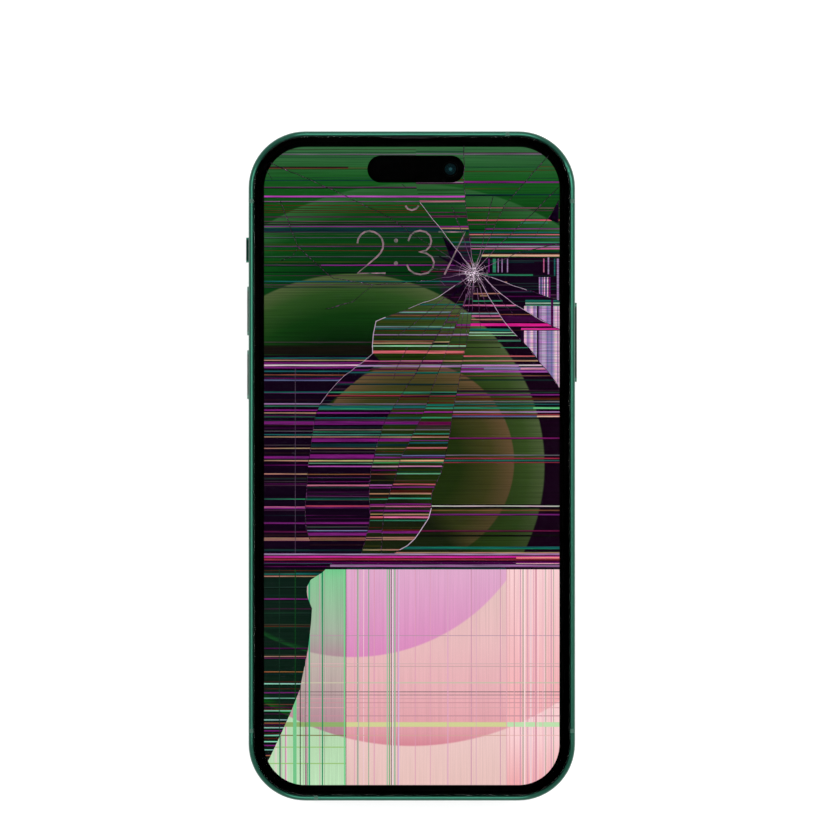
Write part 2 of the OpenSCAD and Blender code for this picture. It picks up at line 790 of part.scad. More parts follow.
module lens_ring(y) {
    color(steel) translate([camera_x, y, 0]) rotate_extrude() polygon([
        [ring_bore_r, 0], [lens_ring_r - ring_chamfer, 0], [lens_ring_r, ring_chamfer],
        [lens_ring_r, lens_ring_h], [ring_sleeve_r, lens_ring_h], [ring_sleeve_r, rear_in_z],
        [ring_step_r, rear_in_z], [ring_step_r, window_recess + window_t],
        [ring_bore_r, window_recess + window_t]
    ]);
}

module upper_lens_ring() { lens_ring(upper_lens_y); }
module lower_lens_ring() { lens_ring(lower_lens_y); }

module lens_window(y) {
    color([0.05, 0.07, 0.1]) translate([camera_x, y, 0])
        slab(window_recess, window_recess + window_t) circle(lens_window_r);
}

module upper_lens_window() { lens_window(upper_lens_y); }
module lower_lens_window() { lens_window(lower_lens_y); }

module rear_camera(y, side) {
    color([0.1, 0.1, 0.12]) {
        translate([camera_x, y, 0])
            slab(window_recess + window_t + barrel_gap, camera_body_z0) circle(barrel_r);
        slab(camera_body_z0, mid_z0 - bracket_wall) difference() {
            translate([camera_x, y]) square(side, center = true);
            front_camera_room();
        }
    }
}

module main_rear_camera() { rear_camera(upper_lens_y, main_camera_side); }
module wide_rear_camera() { rear_camera(lower_lens_y, wide_camera_side); }

module camera_bracket() {
    color(steel) difference() {
        translate([camera_x, camera_y, 0]) difference() {
            slab(camera_body_z0 + bracket_wall, mid_z0) square(bracket, center = true);
            slab(0, mid_z0 - bracket_wall)
                square([bracket[0] - 2 * bracket_wall, bracket[1] - 2 * bracket_wall], center = true);
        }
        slab(0, mid_z0 + cut) front_camera_room();
    }
}

module flash_lens() {
    color([0.9, 0.88, 0.75]) translate([flash_x, flash_y, 0]) slab(back_z, rear_in_z) circle(flash_r);
}

module flash_led() {
    color([0.85, 0.75, 0.3]) translate([flash_x, flash_y, 0])
        slab(rear_in_z, board_z0) square(flash_led_side, center = true);
}

// Battery and boards ------------------------------------------------------------------------

module battery() {
    color([0.16, 0.16, 0.17]) translate([(battery_x0 + battery_x1) / 2, (battery_y0 + battery_y1) / 2, 0])
        slab(battery_z0, battery_z1) round_rect(battery_x1 - battery_x0, battery_y1 - battery_y0, battery_r);
}

module battery_tape() {
    color([0.85, 0.85, 0.8]) for (x = [battery_x0 + tape_inset, battery_x1 - tape_inset - tape_w])
        block([x, battery_y0 + tape_inset, battery_z1], [x + tape_w, battery_y1 - tape_inset, mid_z0]);
}

module battery_cable() {
    color(flex_brown) plug_and_strip(battery_plug_y, battery_x0);
}

module logic_board() {
    color(board_blue) difference() {
        slab(board_z0, board_z1) {
            translate([board_x0, board_y0]) square([board_w, board_y1 - board_y0]);
            translate([board_x0, board_y1 - arm_l]) square([arm_x1 - board_x0, arm_l]);
        }
        for (at = board_screw_at) translate(at)
            slab(board_z0 - cut, board_z1 + cut) circle(board_screw_r + board_screw_hole_fit);
    }
}

module board_shield() {
    color(steel) translate([shield_x0, shield_y0, 0]) difference() {
        block([0, 0, shield_z0], [shield[0], shield[1], board_z0]);
        block([shield_wall, shield_wall, shield_z0 + shield_wall],
            [shield[0] - shield_wall, shield[1] - shield_wall, board_z0 + cut]);
    }
}

// Processor, memory and power chips under the shield
module board_chips() {
    color([0.07, 0.07, 0.08]) for (c = chips) translate([shield_x0 + c[0], shield_y0 + c[1], 0])
        block([0, 0, board_z0 - chip_h], [c[2], c[3], board_z0]);
}

module board_screws() {
    color(steel) for (at = board_screw_at) translate(at) {
        slab(board_z0 - board_screw_head_t, board_z0) circle(board_screw_head_r);
        slab(board_z0, board_z1 + board_screw_engage) circle(board_screw_r);
    }
}

// SIM drawer --------------------------------------------------------------------------------

module sim_reader() {
    x0 = -cx + reader_wall_gap;
    slot_x1 = tray_x0 + sim_tray_depth + tray_end_gap;
    slot_half = reader_half - reader_wall;
    color(steel) difference() {
        block([x0, sim_y - reader_half, board_z1],
            [slot_x1 + reader_wall, sim_y + reader_half, board_z1 + reader_h]);
        block([x0 - cut, sim_y - slot_half, sim_z - sim_tray_t / 2 - sim_fit],
            [slot_x1, sim_y + slot_half, sim_z + sim_tray_t / 2 + sim_fit]);
    }
}

module sim_tray() {
    card_x0 = tray_x0 + card_from_neck;
    tray_z0 = sim_z - sim_tray_t / 2;
    card_z0 = tray_z0 + sim_tray_t - card[2];
    color(frame_green) difference() {
        union() {
            along_x(-hx, -hx + door_t) translate([sim_y, sim_z]) stadium(sim_door_l, sim_door_h);
            along_x(-hx + door_t, tray_x0) translate([sim_y, sim_z])
                stadium(sim_door_l - 2 * neck_inset, sim_door_h - 2 * neck_inset);
            block([tray_x0, sim_y - tray_w / 2, tray_z0],
                [tray_x0 + sim_tray_depth, sim_y + tray_w / 2, tray_z0 + sim_tray_t]);
        }
        block([card_x0 - card_fit, sim_y - card[1] / 2 - card_fit, card_z0],
            [card_x0 + card[0] + card_fit, sim_y + card[1] / 2 + card_fit, tray_z0 + sim_tray_t + cut]);
        block([card_x0 + card_lip, sim_y - card[1] / 2 + card_lip, tray_z0 - cut],
            [card_x0 + card[0] - card_lip, sim_y + card[1] / 2 - card_lip, tray_z0 + cut]);
        along_x(-hx - cut, -hx + door_t + neck_t / 2)
            translate([sim_y + sim_door_l / 2 - eject_from_end, sim_z]) circle(eject_hole_r);
    }
}

module sim_tray_seal() {
    color([0.12, 0.12, 0.12]) along_x(-hx + door_t, tray_x0) translate([sim_y, sim_z]) difference() {
        stadium(sim_door_l, sim_door_h);
        stadium(sim_door_l - 2 * neck_inset, sim_door_h - 2 * neck_inset);
    }
}

module nano_sim_card() {
    x0 = tray_x0 + card_from_neck;
    y0 = sim_y - card[1] / 2;
    color([0.9, 0.9, 0.88]) slab(sim_z + sim_tray_t / 2 - card[2], sim_z + sim_tray_t / 2) polygon([
        [x0, y0], [x0 + card[0], y0], [x0 + card[0], y0 + card[1] - card_notch],
        [x0 + card[0] - card_notch, y0 + card[1]], [x0, y0 + card[1]]
    ]);
}

// Wireless charging -------------------------------------------------------------------------

module flat_ring(r0, r1, z0, z1) {
    difference() {
        slab(z0, z1) circle(r1);
        slab(z0 - cut, z1 + cut) circle(r0);
    }
}

module charging_coil() {
    color(copper) flat_ring(coil_r / 2, coil_r, rear_in_z, rear_in_z + coil_t);
}

// Ring of arc magnets around the coil
module charging_magnets() {
    pitch = 360 / magnet_count;
    color(steel) for (i = [0:magnet_count - 1]) rotate([0, 0, i * pitch])
        translate([0, 0, rear_in_z]) rotate_extrude(angle = pitch - magnet_split)
            translate([coil_r + magnet_gap, 0]) square([magnet_w, coil_t]);
}

// Bottom bay --------------------------------------------------------------------------------

module vibration_motor() {
    color([0.6, 0.6, 0.62])
        translate([(motor_x0 + motor_x1) / 2, -cy + motor_from_end + motor_l / 2, 0])
            slab(mid_z0 - motor_h, mid_z0) round_rect(motor_x1 - motor_x0, motor_l, motor_r);
}

module loudspeaker() {
    color([0.13, 0.13, 0.14]) intersection() {
        block([bottom_screw_x + lug_w / 2 + part_gap, -cy, cavity_z0 + coil_gap],
            [cx, bottom_bay_y - part_gap, mid_z0]);
        inside(mesh_t);
    }
}

module bottom_microphone() {
    color([0.75, 0.65, 0.3]) block([mic_x - mic[0] / 2, -cy + mesh_t, side_z - mic[2] / 2],
        [mic_x + mic[0] / 2, -cy + mesh_t + mic[1], side_z + mic[2] / 2]);
}

module charge_socket() {
    color(steel) difference() {
        along_y(socket_y0, socket_y0 + socket_l) translate([0, side_z]) stadium(socket_w, socket_h);
        along_y(socket_y0 - cut, socket_y0 + socket_l - socket_floor) translate([0, side_z])
            stadium(socket_w - 2 * socket_wall, socket_h - 2 * socket_wall);
    }
}

module socket_tongue() {
    y1 = socket_y0 + socket_l - socket_floor;
    color([0.1, 0.1, 0.1]) block([-tongue[0] / 2, y1 - tongue[1], side_z - tongue[2] / 2],
        [tongue[0] / 2, y1, side_z + tongue[2] / 2]);
}

module dock_flex() {
    z1 = side_z - socket_h / 2;
    y0 = -cy + dock_from_end;
    lap_y = board_y0 + dock_lap;
    color(flex_brown) {
        block([dock_tail[0], y0, z1 - flex_t], [socket_w / 2, y0 + dock_l, z1]);
        block([dock_tail[0], y0, z1 - flex_t], [dock_tail[1], lap_y, z1]);
        block([dock_tail[0] + dock_plug_inset[0], board_y0 + dock_plug_inset[1], z1],
            [dock_tail[1] - dock_plug_inset[0], lap_y, board_z0]);
    }
}

module bottom_screws() {
    head_y = -hy + screw_sink;
    color(steel) for (x = [-1, 1]) translate([x * bottom_screw_x, 0, 0]) {
        along_y(head_y, head_y + screw_head_t) translate([0, side_z]) circle(bottom_screw_head_r);
        along_y(head_y + screw_head_t, lug_y)
            translate([0, side_z]) circle(screw_shank_r);
    }
}

// Fine mesh behind a row of grille holes
module grille_mesh(side, holes) {
    x0 = grille_start - 2 * grille_r;
    x1 = grille_start + (holes - 1) * grille_pitch + 2 * grille_r;
    mirror([side, 0, 0]) block([x0, -cy, side_z - mesh_h / 2], [x1, -cy + mesh_t, side_z + mesh_h / 2]);
}

module grille_meshes() {
    color([0.25, 0.25, 0.26]) intersection() {
        union() {
            grille_mesh(0, speaker_holes);
            grille_mesh(1, microphone_holes);
        }
        inside(0);
    }
}

// Buttons -----------------------------------------------------------------------------------

// Button on the +X side: its cap, the flange that keeps it in, and the nub that presses the dome
module side_button(y, l, proud) {
    along_x(stop_x, hx + proud) translate([y, side_z]) stadium(l, button_h);
    along_x(stop_x - flange_t, stop_x) translate([y, side_z])
        stadium(l + 2 * flange_lip, button_h + 2 * flange_lip);
    along_x(stop_x - flange_t - nub_t, stop_x - flange_t) translate([y, side_z]) circle(nub_r);
}

module power_button() { color(frame_green) side_button(power_y, power_l, power_proud); }
module volume_up_button() {
    color(frame_green) mirror([1, 0, 0]) side_button(volume_up_y, volume_l, volume_proud);
}
module volume_down_button() {
    color(frame_green) mirror([1, 0, 0]) side_button(volume_down_y, volume_l, volume_proud);
}

module silent_switch() {
    color(frame_green) mirror([1, 0, 0]) {
        along_x(stop_x, hx + switch_proud) translate([switch_y, switch_z])
            round_rect(switch_l, button_h, switch_r);
        along_x(stop_x - flange_t, stop_x) translate([switch_y, switch_z])
            square([switch_l + 2 * switch_lip, button_h], center = true);
        along_x(cx + dome_clear, stop_x - flange_t) translate([switch_y, switch_z])
            square([switch_stub_l, switch_stub_l / 2], center = true);
    }
}

// Coloured plate behind the switch, which shows when the switch is set to silent
module switch_well() {
    color([0.85, 0.35, 0.1]) along_x(-cx, -cx + flex_t) translate([switch_y, switch_slot_z])
        square([switch_l + 2 * (switch_lip + well_margin), switch_slot_h], center = true);
}

module dome(side, y) {
    mirror([side, 0, 0]) along_x(cx, cx + dome_t) translate([y, side_z]) circle(dome_r);
}

module dome_switches() {
    color(steel) {
        dome(0, power_y);
        dome(1, volume_up_y);
        dome(1, volume_down_y);
    }
}

// Flex on the inside of the wall that carries the domes between y0 and y1
module button_flex(side, y0, y1) {
    color(flex_brown) mirror([side, 0, 0]) along_x(cx - flex_t, cx) translate([(y0 + y1) / 2, side_z])
        square([y1 - y0, button_flex_w], center = true);
}

module left_button_flex() {
    reach = volume_l / 2 + flange_lip + button_flex_margin;
    button_flex(1, volume_down_y - reach, volume_up_y + reach);
}

module right_button_flex() {
    reach = power_l / 2 + flange_lip + button_flex_margin;
    button_flex(0, power_y - reach, power_y + reach);
}

housing_frame();
antenna_breaks();
cover_glass();
display_panel();
display_plate();
display_frame();
display_seal();
display_cable();
face_sensor();
front_camera();
front_camera_lens();
earpiece_mesh();
earpiece_speaker();
rear_cover();
rear_seal();
upper_lens_ring();
lower_lens_ring();
upper_lens_window();
lower_lens_window();
main_rear_camera();
wide_rear_camera();
camera_bracket();
flash_lens();
flash_led();
battery();
battery_tape();
battery_cable();
logic_board();
board_chips();
board_shield();
board_screws();
sim_reader();
sim_tray();
sim_tray_seal();
nano_sim_card();
charging_coil();
charging_magnets();
vibration_motor();
loudspeaker();
bottom_microphone();
charge_socket();
socket_tongue();
dock_flex();
bottom_screws();
grille_meshes();
silent_switch();
switch_well();
volume_up_button();
volume_down_button();
power_button();
dome_switches();
left_button_flex();
right_button_flex();
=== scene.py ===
import math
import random

import bmesh
import bpy
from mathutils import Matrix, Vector


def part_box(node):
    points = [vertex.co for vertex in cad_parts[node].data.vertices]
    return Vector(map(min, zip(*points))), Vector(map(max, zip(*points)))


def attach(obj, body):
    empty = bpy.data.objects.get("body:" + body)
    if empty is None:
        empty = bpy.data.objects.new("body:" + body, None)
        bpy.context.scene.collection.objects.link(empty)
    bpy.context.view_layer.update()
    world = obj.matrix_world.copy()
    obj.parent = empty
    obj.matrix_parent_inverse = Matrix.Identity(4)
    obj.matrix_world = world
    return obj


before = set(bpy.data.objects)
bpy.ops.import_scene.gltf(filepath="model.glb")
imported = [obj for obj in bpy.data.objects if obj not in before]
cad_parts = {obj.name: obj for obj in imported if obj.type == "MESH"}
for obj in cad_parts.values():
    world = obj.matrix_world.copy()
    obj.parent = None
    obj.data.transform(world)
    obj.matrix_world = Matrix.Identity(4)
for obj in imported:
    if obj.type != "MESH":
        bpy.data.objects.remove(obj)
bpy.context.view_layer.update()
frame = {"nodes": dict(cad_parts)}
nodes = frame["nodes"]
mm = 0.001

# ------------------------------------------------------------------ Table, daylight and camera
# The phone lies on a white table under a plain soft light. The sky is dark straight overhead, so
# that the flat front glass mirrors nothing, and bright towards the horizon. The table lets soft
# light and views from below through, so that the rear cover is lit and seen as well.


class Value:
    """One output of a shader node. Sums and products of values add the Math nodes they need."""

    def __init__(self, nodes, socket):
        self.nodes, self.socket = nodes, socket

    def __add__(self, other):
        return self.nodes.calc("ADD", self, other)

    def __radd__(self, other):
        return self.nodes.calc("ADD", other, self)

    def __sub__(self, other):
        return self.nodes.calc("SUBTRACT", self, other)

    def __rsub__(self, other):
        return self.nodes.calc("SUBTRACT", other, self)

    def __mul__(self, other):
        return self.nodes.calc("MULTIPLY", self, other)

    def __rmul__(self, other):
        return self.nodes.calc("MULTIPLY", other, self)

    def __truediv__(self, other):
        return self.nodes.calc("DIVIDE", self, other)

    def __pow__(self, other):
        return self.nodes.calc("POWER", self, other)

    def __gt__(self, other):
        return self.nodes.calc("GREATER_THAN", self, other)

    def __lt__(self, other):
        return self.nodes.calc("LESS_THAN", self, other)

    def clamp(self):
        return self.nodes.node("ShaderNodeClamp", {}, {0: self})


class Nodes:
    """A node tree, emptied and ready to be filled."""

    def __init__(self, tree):
        self.tree = tree
        tree.nodes.clear()

    def node(self, kind, settings=None, sockets=None, out=0):
        made = self.tree.nodes.new(kind)
        for name, value in (settings or {}).items():
            if name == "stops":
                ramp = made.color_ramp
                for place, shade in value[len(ramp.elements):]:
                    ramp.elements.new(place)
                for element, (place, shade) in zip(ramp.elements, value):
                    element.position, element.color = place, shade
            else:
                setattr(made, name, value)
        self.feed(made, sockets or {})
        return Value(self, made.outputs[out]) if made.outputs else None

    def feed(self, made, sockets):
        for name, value in sockets.items():
            if isinstance(value, Value):
                self.tree.links.new(value.socket, made.inputs[name])
            else:
                made.inputs[name].default_value = value

    def calc(self, operation, *values):
        return self.node("ShaderNodeMath", {"operation": operation}, dict(enumerate(values)))

    def mix(self, first, second, share):
        """The first colour, turning into the second as share goes from 0 to 1."""
        return self.node("ShaderNodeMix", {"data_type": "RGBA"}, {0: share, 6: first, 7: second}, 2)


def ink(red, green, blue):
    """A colour as it looks on a screen, from 0 to 255, made linear."""
    return tuple((c / 255 / 12.92) if c < 11 else ((c / 255 + 0.055) / 1.055) ** 2.4
                 for c in (red, green, blue)) + (1.0,)


def clear_selection():
    bpy.ops.object.select_all(action="DESELECT")


sky = bpy.data.worlds.new("soft_daylight")
bpy.context.scene.world = sky
sky.use_nodes = True
light = Nodes(sky.node_tree)
overhead_from, overhead_to = 0.72, 0.93
ambient, mirror_light = 0.55, 0.95
height = light.node("ShaderNodeSeparateXYZ", {},
                    {0: light.node("ShaderNodeTexCoord", {}, {}, "Generated")}, 2)
overhead = ((height - overhead_from) / (overhead_to - overhead_from)).clamp()
seen = light.node("ShaderNodeLightPath", {}, {}, "Is Camera Ray")
mirrored = light.node("ShaderNodeLightPath", {}, {}, "Is Glossy Ray")
through = light.node("ShaderNodeLightPath", {}, {}, "Is Transmission Ray")
direct = (mirrored + through).clamp()
strength = seen + (1 - seen) * (direct * mirror_light * (1 - overhead) + (1 - direct) * ambient)
sky_shader = light.node("ShaderNodeBackground", {}, {"Color": ink(255, 255, 255), "Strength": strength})
light.node("ShaderNodeOutputWorld", {}, {"Surface": sky_shader})

table_size, table_drop = 8.0, 0.1 * mm
clear_selection()
bpy.ops.mesh.primitive_plane_add(size=table_size, location=(0, 0, -table_drop))
table = bpy.context.object
table.name = "table"
white = bpy.data.materials.new("white_table")
white.use_nodes = True
top = Nodes(white.node_tree)
seen = top.node("ShaderNodeLightPath", {}, {}, "Is Camera Ray")
mirrored = top.node("ShaderNodeLightPath", {}, {}, "Is Glossy Ray")
through = top.node("ShaderNodeLightPath", {}, {}, "Is Transmission Ray")
glow = (seen + mirrored + through).clamp() * 0.7
matt = top.node("ShaderNodeBsdfDiffuse", {}, {"Color": (0.5, 0.5, 0.5, 1)})
lit = top.node("ShaderNodeEmission", {}, {"Color": (1, 1, 1, 1), "Strength": glow})
both = top.node("ShaderNodeAddShader", {}, {0: matt, 1: lit})
below = top.node("ShaderNodeNewGeometry", {}, {}, "Backfacing")
fill = top.node("ShaderNodeLightPath", {}, {}, "Is Diffuse Ray")
clear = top.node("ShaderNodeBsdfTransparent")
top.node("ShaderNodeOutputMaterial", {},
         {"Surface": top.node("ShaderNodeMixShader", {}, {0: (below + fill).clamp(), 1: both, 2: clear})})
table.data.materials.append(white)


def soft_box(name, place, size, power):
    """A square lamp that points at the phone."""
    clear_selection()
    bpy.ops.object.light_add(type="AREA", location=place)
    lamp = bpy.context.object
    lamp.name = name
    lamp.data.shape, lamp.data.size = "SQUARE", size
    lamp.data.energy = power
    lamp.rotation_euler = (-Vector(place)).to_track_quat("-Z", "Y").to_euler()


soft_box("left_lamp", (-1.1, 0.2, 0.9), 0.6, 5.5)
soft_box("right_lamp", (1.1, 0.3, 0.9), 0.6, 6.5)
soft_box("far_lamp", (0.1, 1.2, 0.8), 0.6, 5.5)
soft_box("near_lamp", (-0.1, -1.2, 0.8), 0.6, 5)

glass_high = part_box("cover_glass")[1]
view_width, lens, sensor = 181.4 * mm, 400, 36
view_middle = (-0.07 * mm, 12.01 * mm)
clear_selection()
bpy.ops.object.camera_add(location=(*view_middle, glass_high.z + view_width * lens / sensor),
                          rotation=(0, 0, 0))
camera = bpy.context.object
camera.data.lens, camera.data.sensor_width = lens, sensor
bpy.context.scene.camera = camera
bpy.context.scene.view_settings.view_transform = "Standard"


# ------------------------------------------------------------------ Housing frame
# One machined band of aluminium with the mid plate in it. It is bead blasted, dyed green in the
# anodising bath and sealed, so it has a fine satin grain. Plastic fills its six antenna breaks.


class Finish(Nodes):
    """A material built node by node around one Principled shader."""

    def __init__(self, name, sockets=None):
        self.material = bpy.data.materials.new(name)
        self.material.use_nodes = True
        super().__init__(self.material.node_tree)
        self.shader = self.tree.nodes.new("ShaderNodeBsdfPrincipled")
        self.node("ShaderNodeOutputMaterial", {}, {"Surface": Value(self, self.shader.outputs[0])})
        self.set(sockets or {})

    def set(self, sockets):
        self.feed(self.shader, sockets)
        return self.material

    def place(self, stretch=(1, 1, 1)):
        """Where a point is on the phone, in millimetres, squeezed by stretch."""
        spot = self.node("ShaderNodeTexCoord", {}, {}, "Object")
        return self.node("ShaderNodeVectorMath", {"operation": "MULTIPLY"},
                         {0: spot, 1: [s / mm for s in stretch]})

    def along(self, axis):
        return self.node("ShaderNodeSeparateXYZ", {}, {0: self.place()}, axis)

    def noise(self, size, detail=2.0, stretch=(1, 1, 1)):
        """Cloudy noise from 0 to 1, its patches about size millimetres across."""
        return self.node("ShaderNodeTexNoise", {},
                         {"Vector": self.place(stretch), "Scale": 1 / size, "Detail": detail})

    def relief(self, heights, depth, strength=1.0):
        return self.node("ShaderNodeBump", {}, {"Strength": strength, "Distance": depth * mm,
                                                "Height": heights})


def grained(name, low, high, rough, metal=0.0, patch=9.0, grain=0.12, depth=0.004, stretch=(1, 1, 1)):
    """A finish with cloudy patches of two shades and a fine grain that also breaks its gloss."""
    made = Finish(name)
    patches, grains = made.noise(patch, 3, stretch), made.noise(grain, 2, stretch)
    made.set({"Base Color": made.mix(ink(*low), ink(*high), patches * 0.7 + grains * 0.3),
              "Roughness": (rough - 0.06) + grains * 0.12, "Metallic": metal,
              "Normal": made.relief(grains, depth)})
    return made


def coat(material, *names):
    """Gives CAD nodes their finish."""
    for name in names:
        for slot in nodes[name].material_slots:
            slot.material = material


anodised = grained("anodised_green", (28, 76, 61), (35, 85, 69), 0.22, 0.9, 14, 0.09, 0.0015)
coat(anodised.material, "housing_frame")
break_plastic = grained("antenna_plastic", (30, 82, 66), (38, 92, 74), 0.5, 0.0, 5, 0.15, 0.004)
coat(break_plastic.material, "antenna_breaks")

# ------------------------------------------------------------------ Side buttons and silent switch
# Milled from the same aluminium and dyed in the same bath, with a flange inside the wall that keeps
# each one in. Behind them are steel domes on printed flexes, and an orange plate behind the switch.

button_green = grained("button_green", (36, 90, 72), (44, 100, 82), 0.3, 0.85, 6, 0.08, 0.002)
coat(button_green.material, "silent_switch", "volume_up_button", "volume_down_button", "power_button")
orange = grained("silent_orange", (214, 92, 28), (232, 110, 40), 0.45, 0.0, 2, 0.1, 0.004)
coat(orange.material, "switch_well")
dome_steel = grained("dome_steel", (170, 170, 176), (196, 196, 200), 0.25, 1.0, 3, 0.06, 0.002)
coat(dome_steel.material, "dome_switches")

# ------------------------------------------------------------------ Display panel and its picture
# A glass panel of light points on a steel plate, in a plastic frame. The blow broke its rows, so
# each piece between two cracks shows the picture shifted in colour, with its own fault lines.

left, right, top_side, bottom_side = -32.7, 32.6, 70.4, -70.5
blow_at = (13.8, 42.6)
picture_height = 9.25

crack_1 = [blow_at, (5.8, 37.2), (-0.7, 34.7), (-5.8, 32.8), (-7.9, 31.9), (-8.5, 29.0), (-8.7, 26.6),
           (-8.6, 24.8), (-11.3, 22.5), (-14.9, 19.9), (-16.6, 18.2), (-18.3, 16.3), (-20.2, 13.7),
           (-21.1, 11.5), (-21.6, 9.1), (-22.2, 4.9), (-22.8, 1.0), (-23.1, -3.8), (-23.5, -8.1),
           (-23.5, -11.7), (-23.1, -14.2), (-22.5, -16.2)]
crack_2 = [blow_at, (9.7, 35.6), (4.9, 27.7), (0.2, 19.5), (-5.9, 10.0), (-7.3, 5.7), (-8.2, 2.4),
           (-9.0, -0.5), (-9.3, -3.8), (-9.4, -6.6), (-9.2, -10.9), (-9.7, -14.2), (-10.4, -16.8),
           (-11.1, -19.3)]
crack_3 = [blow_at, (10.1, 31.9), (6.1, 21.3), (3.4, 13.8), (1.9, 10.3), (-0.4, 5.7), (-2.4, 2.0),
           (-4.2, -4.1), (-5.6, -8.0), (-6.2, -9.7), (-6.8, -19.3)]
crack_4 = [blow_at, (13.4, 35.3), (12.8, 30.3), (11.9, 26.2), (10.9, 22.1), (10.5, 19.1), (9.6, 15.0),
           (8.8, 10.5), (7.8, 4.0), (6.4, -1.7), (4.4, -5.9), (4.3, -9.3), (3.7, -11.5), (2.4, -13.5),
           (0.7, -16.0), (-0.9, -17.5), (-2.7, -18.5), (-4.0, -19.3)]
crack_5 = [blow_at, (15.5, 40.0), (17.0, 37.2), (19.5, 33.1), (21.4, 30.6), (23.2, 28.6), (25.8, 26.0),
           (28.6, 22.3), (30.6, 20.0), (right, 17.0)]
crack_6 = [blow_at, (15.95, 41.6), (18.0, 39.4), (19.7, 37.9), (22.5, 35.7), (25.1, 34.2), (27.3, 32.8),
           (29.6, 31.6), (31.4, 30.6), (right, 30.2)]
crack_7 = [blow_at, (17.5, 41.6), (21.0, 40.3), (22.4, 39.7), (25.3, 38.8), (28.1, 37.9), (31.2, 36.9),
           (right, 36.4)]

teal, dark_teal, pale_teal = (24, 104, 94), (10, 52, 50), (110, 165, 150)
green, pale_green = (48, 140, 98), (150, 205, 165)
sand, brown, pale_sand = (176, 142, 108), (126, 82, 52), (220, 198, 150)
magenta, dark_magenta, hot_pink = (124, 34, 120), (82, 20, 62), (236, 40, 152)
pink, salmon, white_pink = (202, 112, 152), (214, 112, 112), (236, 205, 218)
lilac, grey, blue_grey = (164, 140, 178), (108, 106, 112), (98, 108, 150)
purple, red, black = (74, 10, 70), (150, 46, 62), (8, 3, 10)


def by_steps(finish, value, steps):
    """A colour that goes through the steps, each of them a number and its colour, as value rises."""
    first, last = steps[0][0], steps[-1][0]
    stops = [((at - first) / (last - first), ink(*shade)) for at, shade in steps]
    return finish.node("ShaderNodeValToRGB", {"stops": stops},
                       {0: ((value - first) / (last - first)).clamp()})


discs = {"big": (0.0, 0.4, 62.0), "low": (-0.1, -2.8, 59.1), "middle": (-13.0, 0.1, 42.4),
         "small": (0.5, 0.9, 22.2)}


def wallpaper(name, ground, layers, streaks, shadow=False, bled=False, contrast=1.1):
    """Three round fields, each shaded inwards from its rim, on a ground that turns with height."""
    lit = Finish(name, {"Base Color": ink(6, 6, 8), "Roughness": 0.3, "Specular IOR Level": 0.0,
                        "Emission Strength": 1.1})
    x, y = lit.along(0), lit.along(1)
    shade = by_steps(lit, y, ground)
    for disc, steps in layers:
        across, up, radius = discs[disc]
        depth = radius - ((x - across) ** 2 + (y - up) ** 2) ** 0.5
        level = y if steps[0][0] < -30 else depth
        fields = by_steps(lit, level, steps)
        if shadow:
            fields = lit.mix(ink(16, 2, 14), fields, ((x + y + 9) / 6).clamp())
            if disc != "big":
                fields = lit.mix(fields, ink(24, 40, 8), ((3 - y) / 20).clamp() * 0.6)
        shade = lit.mix(shade, fields, (depth * 3).clamp())
    if bled:
        away = ((x - blow_at[0]) ** 2 + (y - blow_at[1]) ** 2) ** 0.5
        patch = ((4.5 - away + lit.noise(3, 2) * 9) / 2.5).clamp() * ((blow_at[0] - 0.4 - x) * 2).clamp()
        shade = lit.mix(shade, ink(40, 6, 44), patch * 0.85)
    lines = lit.noise(0.42, 2, streaks) * contrast + (0.98 - contrast / 2)
    shade = lit.node("ShaderNodeVectorMath", {"operation": "SCALE"}, {0: shade, 3: lines})
    tint = lit.node("ShaderNodeVertexColor", {"layer_name": "tint"})
    fault = lit.node("ShaderNodeVertexColor", {"layer_name": "fault"})
    shade = lit.node("ShaderNodeVectorMath", {"operation": "MULTIPLY"}, {0: shade, 1: tint})
    if contrast < 1:
        return lit.set({"Emission Color": lit.node("ShaderNodeVectorMath", {"operation": "ADD"},
                                                   {0: shade, 1: fault})})
    spot = (streaks[0] * 4, streaks[1] * 4, 1)
    drift = lit.mix((1.2, 0.62, 1.1, 1), (0.8, 1.12, 0.88, 1),
                    ((lit.noise(0.9, 2, spot) - 0.36) * 3.5).clamp())
    fault = lit.node("ShaderNodeVectorMath", {"operation": "MULTIPLY"}, {0: fault, 1: drift})
    ragged = ((lit.noise(0.5, 3, spot) - 0.3) * 2.2).clamp() + 0.3
    fault = lit.node("ShaderNodeVectorMath", {"operation": "SCALE"}, {0: fault, 3: ragged})
    return lit.set({"Emission Color": lit.node("ShaderNodeVectorMath", {"operation": "ADD"},
                                               {0: shade, 1: fault})})


level_streaks, upright_streaks = (0.02, 1.6, 1), (1.6, 0.02, 1)
green_part = wallpaper("picture_upper", [(52, (10, 58, 18)), (56, (12, 66, 18)), (63, (20, 80, 26)),
                                         (70, (50, 96, 58))],
                       [("big", [(0, (44, 92, 48)), (6, (10, 66, 18)), (16, (4, 46, 14))]),
                        ("middle", [(0, (74, 88, 52)), (4, (40, 72, 28)), (9, (14, 52, 12)),
                                    (15, (4, 28, 5))])], level_streaks, bled=True)
dark_part = wallpaper("picture_middle", [(-20, (22, 3, 20)), (40, (20, 3, 19))],
                      [("big", [(0, (20, 3, 18)), (16, (18, 2, 17))]),
                       ("middle", [(0, (72, 86, 52)), (4, (50, 70, 30)), (14, (26, 44, 8))]),
                       ("small", [(0, (94, 72, 48)), (5, (60, 58, 26)), (12, (28, 42, 10))])],
                      level_streaks, True)
night_part = wallpaper("picture_night", [(-20, (18, 2, 22)), (24, (20, 4, 26))],
                       [("big", [(0, (18, 2, 20)), (30, (14, 2, 18))])],
                       level_streaks)
